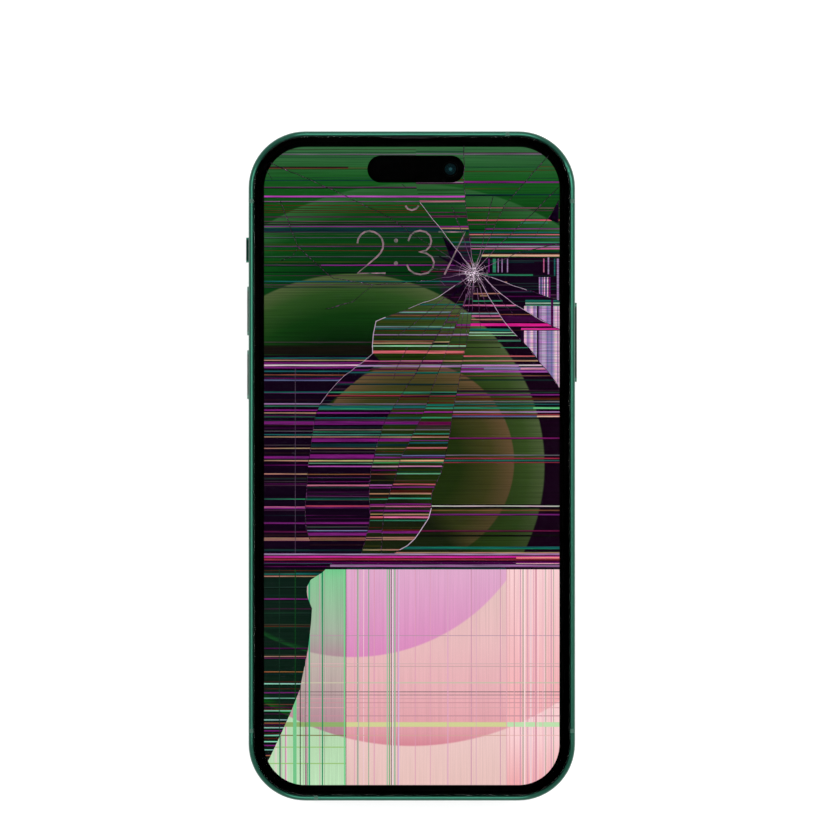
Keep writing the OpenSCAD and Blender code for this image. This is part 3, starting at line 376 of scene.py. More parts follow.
pale_part = wallpaper("picture_low", [(-71, (228, 190, 184)), (-60, (232, 196, 192))],
                      [("low", [(-62, (210, 128, 144)), (-58.5, (220, 156, 164)), (-50, (228, 172, 178)),
                                (-40, (230, 184, 186)), (-22, (224, 192, 188))]),
                       ("middle", [(-43, (216, 134, 186)), (-22, (220, 168, 200))])], upright_streaks,
                      contrast=0.34)
sage_part = wallpaper("picture_low_left", [(-71, (186, 222, 182)), (-60, (178, 212, 172))],
                      [("low", [(-62, (172, 120, 136)), (-56, (178, 140, 150)), (-40, (190, 184, 170))]),
                       ("middle", [(-43, (174, 132, 148)), (-36, (160, 176, 156)), (-25, (132, 194, 146)),
                                   (-22.8, (112, 198, 138))])], upright_streaks, contrast=0.5)
rose_part = wallpaper("picture_low_right", [(-71, (238, 166, 168)), (-60, (246, 204, 206))],
                      [("low", [(-62, (236, 164, 170)), (-50, (240, 176, 180)), (-22, (246, 206, 208))])],
                      upright_streaks, contrast=0.34)
dead_part = wallpaper("picture_dead", [(-71, (8, 18, 13)), (-30, (10, 36, 24)), (-29, (8, 20, 22)),
                                       (-20, (8, 18, 20))],
                      [("big", [(0, (6, 84, 14)), (1.4, (10, 52, 18)), (2.2, (10, 30, 20)),
                                (30, (9, 26, 18))]),
                       ("middle", [(0, (20, 74, 30)), (1.2, (10, 30, 20)), (20, (10, 26, 20))])],
                      level_streaks)


def cut(axis, at, chosen=None):
    """Cuts the mesh being edited straight across at one x (0) or y (1), all of it or the chosen faces."""
    if chosen is None:
        bpy.ops.mesh.select_all(action="SELECT")
    else:
        bpy.ops.mesh.select_all(action="DESELECT")
        shape = bmesh.from_edit_mesh(bpy.context.object.data)
        for face in shape.faces:
            middle = face.calc_center_median() / mm
            face.select = chosen(middle.x, middle.y)
        bmesh.update_edit_mesh(bpy.context.object.data)
    place, facing = [0, 0, 0], [0, 0, 0]
    place[axis], facing[axis] = at * mm, 1
    bpy.ops.mesh.bisect(plane_co=place, plane_no=facing)


def outline_face(name, points, height):
    """A flat face with the outline points, drawn by pulling one corner round it."""
    clear_selection()
    bpy.ops.mesh.primitive_plane_add(size=mm, location=(points[0][0] * mm, points[0][1] * mm,
                                                        height * mm))
    flat = bpy.context.object
    flat.name = name
    bpy.ops.object.transform_apply(location=True, rotation=True, scale=True)
    bpy.ops.object.mode_set(mode="EDIT")
    bpy.ops.mesh.merge(type="CENTER")
    for before, after in zip(points, points[1:]):
        step = ((after[0] - before[0]) * mm, (after[1] - before[1]) * mm, 0)
        bpy.ops.mesh.extrude_vertices_move(TRANSFORM_OT_translate={"value": step})
    bpy.ops.mesh.select_all(action="SELECT")
    bpy.ops.mesh.edge_face_add()
    bpy.ops.mesh.select_all(action="SELECT")
    bpy.ops.mesh.normals_make_consistent(inside=False)
    bpy.ops.object.mode_set(mode="OBJECT")
    if flat.data.polygons[0].normal.z < 0:
        bpy.ops.object.mode_set(mode="EDIT")
        bpy.ops.mesh.flip_normals()
        bpy.ops.object.mode_set(mode="OBJECT")
    return flat


tiles = []
luck = random.Random(11)
dim_lines = [(10, 52, 40), (84, 30, 18), (84, 30, 18), (60, 66, 20), (70, 20, 60), (24, 34, 30),
             (52, 62, 40), (30, 70, 50), (4, 20, 8), (84, 50, 70)]
night_lines = [(60, 14, 58), (14, 44, 40), (46, 30, 24), (6, 2, 8), (70, 54, 64), (90, 20, 84),
               (30, 60, 50)]
soft_lines = [(214, 150, 176), (196, 140, 166), (232, 200, 206), (150, 160, 140), (222, 170, 170)]


def tile(name, material, outline, rows=(), columns=(), faint=(), every=1.3, way=1, calm=-99):
    """One piece of the picture, cut along its cracks.

    A row is its height, colour, width and ends, and a column is the same the other way. Weak lines in
    the faint colours lie about every so many millimetres between them, none below the calm height."""
    flat = outline_face(name, outline, picture_height)
    bpy.ops.object.mode_set(mode="EDIT")
    first, last = max(calm, min(p[way] for p in outline)), max(p[way] for p in outline)
    weak = [(way, luck.uniform(first, last), luck.choice(faint), luck.uniform(0.1, 0.24))
            for number in range(round((last - first) / every) if faint else 0)]
    edges = [(1, row[0] - 0.21, black, 0.12) for row in rows
             if faint is dim_lines and luck.random() < 0.55]
    lines = weak + edges + [(1, *row) for row in rows] + [(0, *column) for column in columns]
    boxes = []
    for axis, at, shade, *rest in lines:
        width = (rest[0] if rest else 0.26) * 0.86
        ends = rest[1:] if len(rest) > 2 else (-99, 99)
        low, high = at - width / 2, at + width / 2
        cut(axis, low)
        cut(axis, high)
        if len(rest) > 2:
            for end in ends:
                cut(1 - axis, end, lambda x, y: low < (x, y)[axis] < high)
        boxes.append((axis, low, high, *ends, shade))
    bpy.ops.object.mode_set(mode="OBJECT")
    tint = flat.data.color_attributes.new("tint", "FLOAT_COLOR", "CORNER")
    fault = flat.data.color_attributes.new("fault", "FLOAT_COLOR", "CORNER")
    for face in flat.data.polygons:
        middle = tuple(face.center / mm)
        shade = None
        for axis, low, high, start, end, colour in boxes:
            if low < middle[axis] < high and start < middle[1 - axis] < end:
                shade = colour
        for corner in face.loop_indices:
            tint.data[corner].color = (0, 0, 0, 1) if shade else (1, 1, 1, 1)
            fault.data[corner].color = ink(*shade) if shade else (0, 0, 0, 1)
    flat.data.materials.append(material)
    tiles.append(flat)


tile("tile_upper_left", green_part,
     [(left, top_side), (0.9, top_side), (0.9, 62), (1.8, 58.1)] + crack_1[:8]
     + [(-8.6, 24.4), (left, 24.4)],
     [(68.75, grey, 0.2), (65.9, (30, 8, 22), 0.2, left, -14), (65.6, (96, 66, 38), 0.25, left, -14),
      (62.97, dark_teal), (61.5, (84, 56, 80), 0.2), (61.2, (8, 16, 10), 0.15),
      (59.4, (190, 80, 190), 0.42), (58.3, (130, 84, 128), 0.25), (55.85, (66, 44, 20), 0.2),
      (54.9, (70, 26, 60), 0.3), (53.9, magenta, 0.3, -3, 7), (52.8, (120, 50, 124), 0.3),
      (52.1, dark_teal, 0.9), (50.4, (60, 84, 70), 0.15), (48.4, (96, 52, 90), 0.3),
      (46.2, (60, 80, 70), 0.15), (44.3, (66, 46, 68), 0.25), (44.3, (128, 38, 128), 0.3, -20, 16),
      (42.9, (92, 30, 52), 0.2, 2, 14), (42.5, pink, 0.3, -5.7, 14), (40.7, teal, 0.25),
      (27.3, (70, 50, 62), 0.16), (25.6, (20, 19, 10), 2.3)], faint=dim_lines, every=1.1, calm=39)
tile("tile_top", green_part,
     [(0.9, top_side), (11.5, top_side), (11.5, 62.8), (11.9, 57.2), (12.6, 52.2), (13.2, 46), blow_at,
      (1.8, 58.1), (0.9, 62)],
     [(68.75, grey, 0.2), (62.55, (150, 110, 140), 0.25), (59.4, (190, 80, 190), 0.42),
      (58.3, (170, 110, 120), 0.3), (54.9, dark_magenta, 0.3), (52.8, magenta, 0.3), (52.4, sand, 0.25),
      (51.9, dark_teal, 0.6), (49.3, teal, 0.25), (48.4, (120, 90, 130), 0.3), (47.1, dark_teal, 0.3),
      (45.2, (110, 40, 110), 0.3)], faint=dim_lines, every=1.1)
tile("tile_top_right", green_part,
     [(11.5, top_side), (31.9, top_side), (29.8, 68), (20.5, 57.7), (17, 50), (15.4, 46.4), blow_at,
      (13.2, 46), (12.6, 52.2), (11.9, 57.2), (11.5, 62.8)],
     [(68.75, grey, 0.2), (62.55, magenta, 0.35), (59.8, dark_teal, 0.3),
      (56.9, (180, 112, 112), 0.4, 12, 20.3), (54.2, salmon, 0.3), (52.3, magenta, 0.3, 16.1, 17.9),
      (51.5, teal, 0.3), (51.0, salmon, 0.25), (50.4, grey, 0.25), (49.3, green, 0.3),
      (48.85, purple, 0.3), (48.4, lilac, 0.25), (47.9, pink, 0.25), (47.1, dark_teal, 0.35)],
     faint=dim_lines, every=1.1)
tile("tile_right_top", green_part,
     [(31.9, top_side), (right, top_side), (right, 46.0), (15.5, 46.0), (15.4, 46.4), (17, 50),
      (20.5, 57.7), (29.8, 68)],
     [(62.55, magenta, 0.35), (59.8, dark_teal, 0.3), (56.9, (110, 90, 80), 0.2),
      (54.2, salmon, 0.35, 19, 29.6), (53.6, green, 0.3, 24, 30), (52.3, magenta, 0.25),
      (51.5, teal, 0.3), (51.0, salmon, 0.3), (50.4, blue_grey, 0.25), (49.3, green, 0.35),
      (48.85, purple, 0.3), (48.4, lilac, 0.3), (47.9, pink, 0.3), (47.1, dark_teal, 0.4),
      (46.45, pale_sand, 0.5)], faint=dim_lines, every=1.1)
tile("tile_right_column", night_part, [blow_at, (15.5, 46.0), (right, 46.0)] + crack_7[:0:-1],
     [(42.1, green, 0.4, 15.2, 26.7), (40.4, sand, 0.6, 15.2, 21), (39.0, dark_teal, 0.3),
      (44.9, dark_teal, 0.25, 16, 27)],
     [(17.0, magenta, 0.3, 42.7, 45.7), (18.2, green, 0.8, 42.7, 45.7), (19.05, lilac, 0.25, 42.7, 45.7),
      (19.9, lilac, 0.25, 42.7, 45.7), (21.1, lilac, 0.3, 42.7, 45.7), (28.15, lilac, 0.3, 37.2, 41.6),
      (28.5, blue_grey, 0.25, 37.2, 41.6), (28.85, lilac, 0.3, 37.2, 41.6),
      (29.25, white_pink, 0.3, 37.2, 41.6), (29.6, blue_grey, 0.25, 37.2, 41.6),
      (29.95, white_pink, 0.3, 37.2, 41.6), (30.4, magenta, 0.3, 37.2, 41.6),
      (29.1, pink, 0.3, 42.7, 45.7), (30.1, lilac, 0.3, 42.7, 45.7), (31.5, teal, 0.35, 42.0, 45.7),
      (32.2, lilac, 0.5, 30, 45.7)], faint=night_lines, every=1.0)
stripe_inks = [lilac, (190, 176, 204), (150, 140, 182), white_pink, (226, 206, 206), (120, 124, 170),
               (90, 60, 110)]
stripes = [(24.9 + 0.28 * number, luck.choice(stripe_inks), 0.34) for number in range(28)]
tile("tile_right_band", night_part, crack_7[1:] + crack_6[:0:-1],
     [(36.4, teal, 0.5, 24.9, 33), (35.9, pale_green, 0.4, 24.9, 33), (35.4, green, 0.3, 24.9, 33),
      (38.4, dark_teal, 0.3), (37.4, purple, 0.3)],
     [(*stripe, 24, 35.2) for stripe in stripes] + [(27.7, black, 0.3, 24, 35.2),
                                                    (31.0, purple, 0.6, 24, 36.6)],
     faint=night_lines, every=1.0)
tile("tile_right_stripes", night_part, [blow_at] + crack_6[1:] + crack_5[:0:-1],
     [(38.0, sand, 0.3, 16.5, 19.6), (36.4, green, 0.3, 15, 20), (35.4, pink, 0.35, 15, 22.9),
      (33.65, teal, 0.4, 17, 20), (33.4, brown, 0.2, 19.4, 26.4), (32.4, (58, 12, 58), 1.6, 20.5, 31),
      (31.1, hot_pink, 0.75, 20, 31.4), (30.2, (220, 50, 150), 0.5, 23.4, 33)],
     [(*stripe, 15, 29.9) for stripe in stripes] + [(27.7, black, 0.25, 15, 29.9),
                                                    (24.4, (30, 10, 40), 0.7, 15, 29.9)],
     faint=night_lines, every=1.0)
tile("tile_middle_right", dark_part,
     [blow_at] + crack_5[1:] + [(right, -19.3), (-4.0, -19.3)] + crack_4[-2:0:-1],
     [(38.0, sand, 0.25), (37.5, sand, 0.2, 15, 16.8), (36.4, green, 0.3), (35.4, pink, 0.35),
      (33.65, pale_teal, 0.4, 13, 19.4), (33.05, pink, 0.45), (32.3, sand, 0.3),
      (31.1, hot_pink, 0.6, 15.4, 30.3), (30.0, teal, 0.6, 17, 21.8), (29.4, pale_green, 0.3),
      (28.8, pale_green, 0.25, 17.4, 23.2), (27.6, green, 0.35, 19, 24), (26.3, green, 0.8, 19.6, 26),
      (24.2, salmon, 0.35), (23.2, sand, 0.35), (22.2, (190, 150, 200), 0.45, 10.8, 23.6),
      (22.2, (240, 214, 220), 0.45, 23.6, 31), (21.55, magenta, 0.5, 10.8, 15.9),
      (21.55, (150, 130, 184), 0.5, 15.9, 24), (21.55, (232, 160, 184), 0.5, 24, 31),
      (20.9, (170, 90, 180), 0.4, 15.9, 24.4), (20.9, (240, 204, 202), 0.4, 24.4, 31), (19.9, brown, 0.2),
      (18.9, green, 0.25, 23.5, 33), (18.3, magenta, 0.3, 24, 33), (17.3, brown, 0.25, 24.5, 33),
      (15.7, magenta, 0.35, 17, 33), (14.9, (84, 30, 18), 0.4, 11, 22), (16.6, (50, 24, 44), 0.25),
      (14.2, grey, 0.25), (13.6, teal, 0.3), (12.74, green, 0.35), (11.9, lilac, 0.3), (11.35, red, 0.2),
      (10.95, blue_grey, 0.4), (10.45, black, 0.3), (6.14, (110, 20, 90), 0.35), (2.4, grey, 0.25),
      (1.7, red, 0.25), (1.2, teal, 0.3), (0.75, red, 0.2), (-8.55, black, 0.2),
      (-8.85, (196, 208, 188), 0.32), (-9.15, black, 0.2), (-9.8, brown, 0.3),
      (-9.75, (186, 156, 118), 0.3, 26, 33), (-10.7, magenta, 0.35), (-14.3, (96, 20, 60), 0.3),
      (-15.3, (14, 20, 8), 0.3), (-18.1, (20, 110, 90), 0.75), (-19.1, sand, 0.25),
      (14.2, (220, 200, 150), 0.4, 26, 33), (12.74, (110, 220, 140), 0.4, 26.8, 33),
      (11.9, (210, 160, 130), 0.3, 27.3, 33), (10.95, (240, 190, 170), 0.5, 27.6, 33),
      (6.14, (170, 40, 150), 0.35, 28.6, 33), (2.4, (200, 180, 140), 0.25, 29, 33),
      (1.2, (90, 180, 120), 0.3, 29, 33)],
     faint=dim_lines, every=1.0, calm=11.2)
tile("tile_middle_3", dark_part, [blow_at] + crack_4[1:] + [(-6.8, -19.3)] + crack_3[-2:0:-1],
     [(35.4, pink, 0.3), (33.65, pale_teal, 0.35), (31.1, magenta, 0.6), (29.0, lilac, 0.25),
      (26.45, pale_green, 0.3), (25.1, salmon, 0.7), (23.15, sand, 0.3), (22.05, lilac, 0.5),
      (20.6, teal, 0.3), (18.0, dark_teal, 0.3), (16.25, green, 0.35), (15.5, red, 0.25),
      (13.4, (20, 110, 90), 0.6), (12.74, (40, 150, 110), 0.35), (11.9, (150, 40, 140), 0.3),
      (10.65, (60, 160, 110), 0.35), (9.4, (100, 15, 70), 0.9), (8.0, grey, 0.2), (7.1, green, 0.3),
      (6.4, sand, 0.25), (5.6, magenta, 0.3), (5.1, teal, 0.3), (4.0, (190, 120, 110), 0.3),
      (2.3, blue_grey, 0.25), (1.9, magenta, 0.25), (1.2, (210, 180, 120), 0.35), (0.8, green, 0.25),
      (-0.05, (200, 140, 170), 0.3), (-1.7, (100, 170, 130), 0.35), (-4.05, salmon, 0.35),
      (-4.6, magenta, 0.3), (-6.1, sand, 0.3), (-7.2, (60, 150, 120), 0.35), (-8.4, magenta, 0.25),
      (-8.9, pink, 0.25), (-9.9, magenta, 0.4), (-10.7, sand, 0.3), (-11.3, (240, 130, 170), 0.35),
      (-12.0, green, 0.3), (-14.6, magenta, 0.7), (-15.75, sand, 0.25), (-16.2, sand, 0.25),
      (-18.45, sand, 0.25)], faint=dim_lines, every=1.0)
tile("tile_middle_2", dark_part, [blow_at] + crack_3[1:] + [(-11.1, -19.3)] + crack_2[-2:0:-1],
     [(35.6, teal, 0.3), (33.2, brown, 0.25), (32.5, teal, 0.3), (30.5, pale_teal, 0.4),
      (28.9, lilac, 0.25), (27.3, sand, 0.4), (26.45, pale_green, 0.35), (25.1, salmon, 0.75),
      (23.15, pink, 0.3), (22.7, dark_magenta, 0.25), (22.05, lilac, 0.5), (20.6, teal, 0.35),
      (18.0, dark_teal, 0.35), (16.25, green, 0.35), (15.5, red, 0.25), (13.7, grey, 0.2),
      (13.0, teal, 0.6), (11.7, magenta, 0.35), (10.6, teal, 0.3), (9.5, (110, 30, 110), 0.8),
      (8.0, (120, 110, 100), 0.25), (6.9, (60, 140, 110), 0.35), (6.4, (170, 140, 110), 0.25),
      (5.7, (120, 30, 115), 0.7), (4.6, (10, 50, 50), 0.6), (3.85, (150, 120, 80), 0.25),
      (2.5, (80, 110, 130), 0.25), (1.9, magenta, 0.4), (1.15, (190, 180, 120), 0.3),
      (0.7, (60, 150, 80), 0.25), (-0.1, (200, 160, 170), 0.3), (-0.9, purple, 0.3), (-1.8, brown, 0.3),
      (-4.25, (170, 90, 160), 0.35), (-4.8, magenta, 0.3), (-6.1, (170, 130, 90), 0.25),
      (-7.3, (60, 140, 100), 0.3), (-8.5, magenta, 0.25), (-8.9, (190, 90, 140), 0.25),
      (-9.9, magenta, 0.4), (-10.6, (200, 160, 110), 0.3), (-11.3, (220, 110, 120), 0.35),
      (-12.0, (50, 140, 100), 0.3), (-14.4, magenta, 0.6), (-15.8, sand, 0.25), (-16.25, sand, 0.25),
      (-18.45, sand, 0.25)], faint=dim_lines, every=1.0)
bent_rows = [(35.6, teal, 0.3), (33.9, pale_teal, 0.35), (33.2, brown, 0.2), (32.5, teal, 0.3),
             (30.7, pale_teal, 0.3), (30.3, teal, 0.25), (28.9, lilac, 0.3), (27.5, brown, 0.25),
             (27.1, sand, 0.3), (26.45, pale_green, 0.35), (25.1, salmon, 0.75), (23.15, pink, 0.3),
             (22.7, dark_magenta, 0.3), (22.05, lilac, 0.5), (20.6, teal, 0.35), (18.0, dark_teal, 0.4),
             (16.25, green, 0.35), (15.5, red, 0.25), (13.7, grey, 0.25), (13.0, teal, 0.7),
             (12.5, green, 0.3), (11.7, magenta, 0.35), (10.6, teal, 0.3), (9.5, (110, 30, 110), 0.9),
             (8.0, (120, 110, 100), 0.25), (7.5, green, 0.2), (6.9, (60, 140, 110), 0.35),
             (6.4, (170, 140, 110), 0.25), (5.7, (120, 30, 115), 0.8), (4.6, (10, 50, 50), 0.7),
             (3.85, (150, 120, 80), 0.25), (2.1, (125, 30, 120), 1.0), (1.15, (200, 170, 120), 0.35),
             (0.6, (90, 150, 110), 0.25), (-0.1, (190, 100, 190), 0.3), (-1.85, (130, 80, 50), 0.3),
             (-4.3, (200, 110, 140), 0.35), (-6.2, (50, 30, 50), 0.2), (-7.3, (20, 90, 75), 0.35),
             (-8.9, (190, 70, 100), 0.25), (-9.25, magenta, 0.25), (-12.6, magenta, 0.4),
             (-14.25, (130, 140, 190), 0.25), (-15.0, magenta, 0.7), (-15.9, (150, 110, 80), 0.25),
             (-16.3, (150, 110, 80), 0.25), (-18.6, dark_teal, 0.35)]
strip_edge = [(-7.0, 23.2), (-8.4, 21.9), (-12.5, 18.6), (-18.0, 14.0), (-19.4, 13.0)]
tile("tile_middle_1", dark_part,
     [blow_at] + crack_2[1:4] + [(-3.97, 13.0)] + strip_edge[::-1] + crack_1[7:0:-1], bent_rows,
     faint=dim_lines, every=1.0)
tile("tile_strip", night_part, crack_1[7:13] + [(-20.5, 13.0)] + strip_edge[::-1], bent_rows,
     faint=night_lines, every=1.0)
tile("tile_lower_1", night_part,
     [(-3.97, 13.0)] + crack_2[4:] + [(-22.5, -19.3)] + crack_1[:12:-1] + [(-20.5, 13.0)], bent_rows,
     faint=night_lines, every=1.0)
tile("tile_left", night_part,
     [(left, 24.4), (-8.6, 24.4)] + crack_1[8:] + [(-22.5, -19.3), (left, -19.3)],
     [(23.8, teal, 0.3), (23.3, sand, 0.25), (22.7, magenta, 0.35), (22.2, white_pink, 0.4),
      (21.7, magenta, 0.4), (20.9, teal, 0.3), (20.1, brown, 0.25), (19.7, dark_teal, 0.3),
      (18.85, blue_grey, 0.25), (16.3, teal, 0.3), (13.7, lilac, 0.3), (13.2, green, 0.3),
      (12.3, magenta, 0.35), (11.7, sand, 0.25), (10.8, green, 0.3), (9.5, magenta, 0.8),
      (7.7, grey, 0.2), (6.9, teal, 0.3), (6.4, sand, 0.25), (3.9, sand, 0.25), (1.9, magenta, 0.6),
      (1.2, sand, 0.25), (0.2, purple, 0.35), (-1.8, sand, 0.25), (-4.3, (70, 40, 60), 0.2),
      (-7.3, green, 0.25), (-9.05, pink, 0.3), (-9.35, magenta, 0.25), (-12.6, magenta, 0.4),
      (-14.5, dark_magenta, 0.4), (-15.9, sand, 0.25), (-16.35, sand, 0.25), (-18.65, dark_teal, 0.3)],
     [(-25.7, (84, 72, 88), 0.14, -19.3, 21.5)], faint=night_lines, every=1.0)
tile("tile_band", night_part, [(left, -19.3), (right, -19.3), (right, -22.8), (left, -22.8)],
     [(-19.5, lilac, 0.3), (-20.0, (200, 40, 150), 0.5), (-20.0, (236, 60, 176), 0.5, -16, 4),
      (-20.6, red, 0.5), (-20.35, (250, 156, 150), 0.7, 23, 33), (-21.3, (75, 8, 70), 0.6),
      (-21.05, (124, 14, 112), 0.4, 23, 33), (-21.55, (40, 90, 90), 0.25, left, -17.6),
      (-21.6, (238, 198, 190), 0.35, 23, 33), (-22.0, (155, 120, 158), 0.5, -18, 33),
      (-22.2, (90, 10, 80), 0.3, left, -18.8), (-22.6, (10, 60, 50), 0.25, -14.4, 20.8)],
     faint=night_lines, every=1.0)
dead_edge = [(-19.0, -22.8), (-19.9, -23.6), (-22.3, -25.1), (-23.1, -26.6), (-23.2, -27.8),
             (-22.9, -29.2), (-22.0, -31.4), (-22.2, -34.5), (-22.9, -40.5), (-24.7, -49.3),
             (-26.9, -54.8), (-28.9, -59.2), (-31.3, -64.3), (-32.2, -65.9)]
tile("tile_dead", dead_part,
     [(left, -22.8)] + dead_edge + [(left, -66.5)],
     [(-23.8, teal, 0.35), (-24.3, sand, 0.25), (-26.8, (30, 60, 44), 0.25), (-29.3, magenta, 0.3),
      (-32.4, (24, 60, 40), 0.2), (-35.6, (24, 60, 40), 0.2), (-40.2, purple, 0.3),
      (-42.0, (190, 130, 120), 0.2), (-42.4, (120, 16, 100), 0.2), (-45.4, (190, 120, 70), 0.2),
      (-45.9, dark_teal, 0.25), (-48.0, (150, 236, 196), 0.22), (-50, magenta, 0.3),
      (-51.2, (120, 200, 164), 0.25), (-52.6, (96, 70, 44), 0.2), (-53.2, dark_magenta, 0.2),
      (-54.0, (130, 220, 176), 0.25), (-56.0, (136, 226, 184), 0.3), (-56.7, (150, 100, 60), 0.25),
      (-57.7, (140, 236, 190), 0.3), (-58.4, magenta, 0.25), (-59.4, (130, 220, 176), 0.25),
      (-60.8, (140, 230, 186), 0.3), (-61.6, magenta, 0.25), (-62.6, (130, 220, 180), 0.25),
      (-63.8, (180, 120, 70), 0.2)],
     [(-29.2, (22, 56, 36), 0.2), (-25.7, (14, 74, 26), 0.25)], faint=dim_lines, every=1.4)
low_rows = [(-37.4, (176, 142, 160), 0.16), (-43.6, (208, 172, 172), 0.2), (-44.2, (196, 160, 160), 0.2),
            (-47.8, (196, 188, 166), 0.3), (-49.8, (128, 108, 112), 0.22), (-50.5, (140, 112, 118), 0.18),
            (-51.3, (206, 150, 160), 0.2), (-52.2, (196, 140, 150), 0.2), (-53.3, (210, 160, 165), 0.2),
            (-55.1, (190, 140, 150), 0.25)]
tile("tile_sage", sage_part,
     [(-14.45, -22.8), (-14.45, bottom_side), (left, bottom_side), (left, -66.5)] + dead_edge[::-1],
     low_rows + [(-57.0, (140, 170, 105), 1.2), (-59.4, (126, 128, 84), 0.3),
                 (-62.0, (150, 190, 120), 0.3), (-65.6, (150, 190, 120), 0.3)],
     [(-29.1, (60, 140, 96), 0.25), (-25.8, (112, 190, 132), 0.9), (-24.6, (24, 44, 28), 0.22),
      (-23.5, (70, 100, 76), 0.15), (-23.1, (84, 140, 100), 0.15), (-22.6, (56, 160, 112), 0.4),
      (-19.7, (30, 132, 88), 0.3), (-14.85, (112, 204, 136), 0.3), (-14.5, (60, 60, 56), 0.2)],
     faint=soft_lines, every=1.2, way=0)
tile("tile_pink", pale_part, [(-14.45, -22.8), (20.85, -22.8), (20.85, bottom_side),
                              (-14.45, bottom_side)],
     low_rows + [(-57.0, (205, 205, 145), 1.2), (-59.4, (206, 160, 150), 0.2)],
     [(-11.8, (176, 178, 166), 0.25), (-9.5, (112, 166, 128), 0.2), (-5.4, (152, 190, 156), 0.3),
      (-4.9, (112, 168, 116), 0.3), (-4.45, (20, 20, 18), 0.16), (-4.25, (232, 214, 222), 0.2),
      (-3.75, (150, 178, 150), 0.4), (-2.9, (212, 178, 216), 0.25), (8.0, (216, 160, 190), 0.12),
      (14.2, (210, 160, 186), 0.12)], faint=soft_lines, every=3.2, way=0)
tile("tile_rose", rose_part, [(20.85, -22.8), (right, -22.8), (right, bottom_side), (20.85, bottom_side)],
     low_rows + [(-57.0, (185, 220, 170), 1.2), (-59.4, (226, 180, 176), 0.2)],
     [(20.95, (218, 164, 176), 0.2), (22.6, (200, 150, 158), 0.22), (23.8, (226, 170, 186), 0.15),
      (24.9, (246, 214, 216), 0.3), (27.3, (206, 146, 156), 0.22), (27.9, (246, 216, 218), 0.2),
      (28.9, (228, 170, 184), 0.15)], faint=soft_lines, every=0.7, way=0)

camera_low, camera_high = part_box("front_camera_lens")
camera_x, camera_y = (camera_low.x + camera_high.x) / 2 / mm, (camera_low.y + camera_high.y) / 2 / mm
camera_hole = 1.7


def joined(pieces):
    """The pieces as one object, under the name of the first."""
    clear_selection()
    for piece in pieces:
        piece.select_set(True)
    bpy.context.view_layer.objects.active = pieces[0]
    bpy.ops.object.join()
    return bpy.context.object


picture = joined(tiles)
picture.name = picture.data.name = "display_image"
bpy.ops.object.mode_set(mode="EDIT")
corner_reach, corner_middle = 10.2, (23.45, 61.25)
for side in (1, -1):
    for end in (1, -1):
        for turn in (22.5, 45, 67.5):
            way = Vector((side * math.cos(math.radians(turn)), end * math.sin(math.radians(turn)), 0))
            rim = Vector((side * corner_middle[0], end * corner_middle[1], 0)) + way * corner_reach
            bpy.ops.mesh.select_all(action="SELECT")
            bpy.ops.mesh.bisect(plane_co=rim * mm, plane_no=way, clear_outer=True)
for axis, middle in enumerate((camera_x, camera_y)):
    cut(axis, middle - camera_hole)
    cut(axis, middle + camera_hole)
bpy.ops.mesh.select_all(action="DESELECT")
shape = bmesh.from_edit_mesh(picture.data)
for face in shape.faces:
    middle = face.calc_center_median() / mm
    face.select = abs(middle.x - camera_x) < camera_hole and abs(middle.y - camera_y) < camera_hole
bmesh.update_edit_mesh(picture.data)
bpy.ops.mesh.delete(type="FACE")
bpy.ops.object.mode_set(mode="OBJECT")
spread = picture.data.uv_layers.new(name="OFBake")
span = (right - left, top_side - bottom_side)
for face in picture.data.polygons:
    for corner in face.loop_indices:
        spot = picture.data.vertices[picture.data.loops[corner].vertex_index].co / mm
        spread.data[corner].uv = ((spot.x - left) / span[0], (spot.y - bottom_side) / span[1])
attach(picture, "phone")

panel_glass = grained("panel_black", (8, 8, 10), (16, 16, 20), 0.3, 0.0, 8, 0.2, 0.001)
coat(panel_glass.material, "display_panel")

# ------------------------------------------------------------------ Bruises and the dimmed clock
# Next to the blow the layer of light points has bled into dark purple patches. The lock screen
# picture under it shows a thin clock, 2:37, above the middle.

bruise_height, clock_height = 9.256, 9.262
bruise_ink = grained("bled_purple", (16, 2, 24), (34, 4, 44), 0.5, 0.0, 1.2, 0.2, 0.001)
bruise_ink.set({"Specular IOR Level": 0.0})
bruise_outlines = {"bruise_upper": [(6.7, 50.8), (8.7, 45.3), (13.2, 43.8), (10.4, 47.2)],
                   "bruise_left": [(13.4, 43.0), (9.4, 45.0), (5.2, 46.7), (8.4, 44.6)],
                   "bruise_edge": [(30.1, 54.4), (32.4, 53.5), (32.4, 58.8)],
                   "bruise_lower": [(13.3, 42.0), (9.2, 38.2), (7.6, 36.6), (10.6, 38.4)]}
for name, outline in bruise_outlines.items():
    bruise = outline_face(name, outline, bruise_height)
    bruise.data.materials.append(bruise_ink.material)
    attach(bruise, "phone")

clock_stroke = 0.19
clock_lines = [[(-12.0, 49.1), (-11.8, 50.1), (-11.2, 51.0), (-10.4, 51.6), (-9.4, 51.8), (-8.3, 51.6),
                (-7.3, 51.0), (-6.6, 50.1), (-6.3, 49.0), (-6.4, 48.0), (-6.9, 47.0), (-7.7, 46.1),
                (-12.0, 42.5), (-5.8, 42.5)],
               [(-0.8, 49.6), (-0.3, 50.8), (0.6, 51.6), (1.8, 51.9), (3.1, 51.6), (4.0, 50.8),
                (4.3, 49.6), (4.0, 48.4), (3.1, 47.5), (1.6, 47.2), (3.2, 46.9), (4.4, 46.1), (4.9, 44.9),
                (4.6, 43.6), (3.6, 42.6), (2.0, 42.2), (0.5, 42.5), (-0.6, 43.3), (-1.1, 44.4)],
               [(5.9, 51.6), (11.8, 51.6), (7.2, 42.2)],
               [(-1.4, 57.4), (-0.9, 56.7), (0.0, 56.4), (0.9, 56.7), (1.5, 57.4)]]


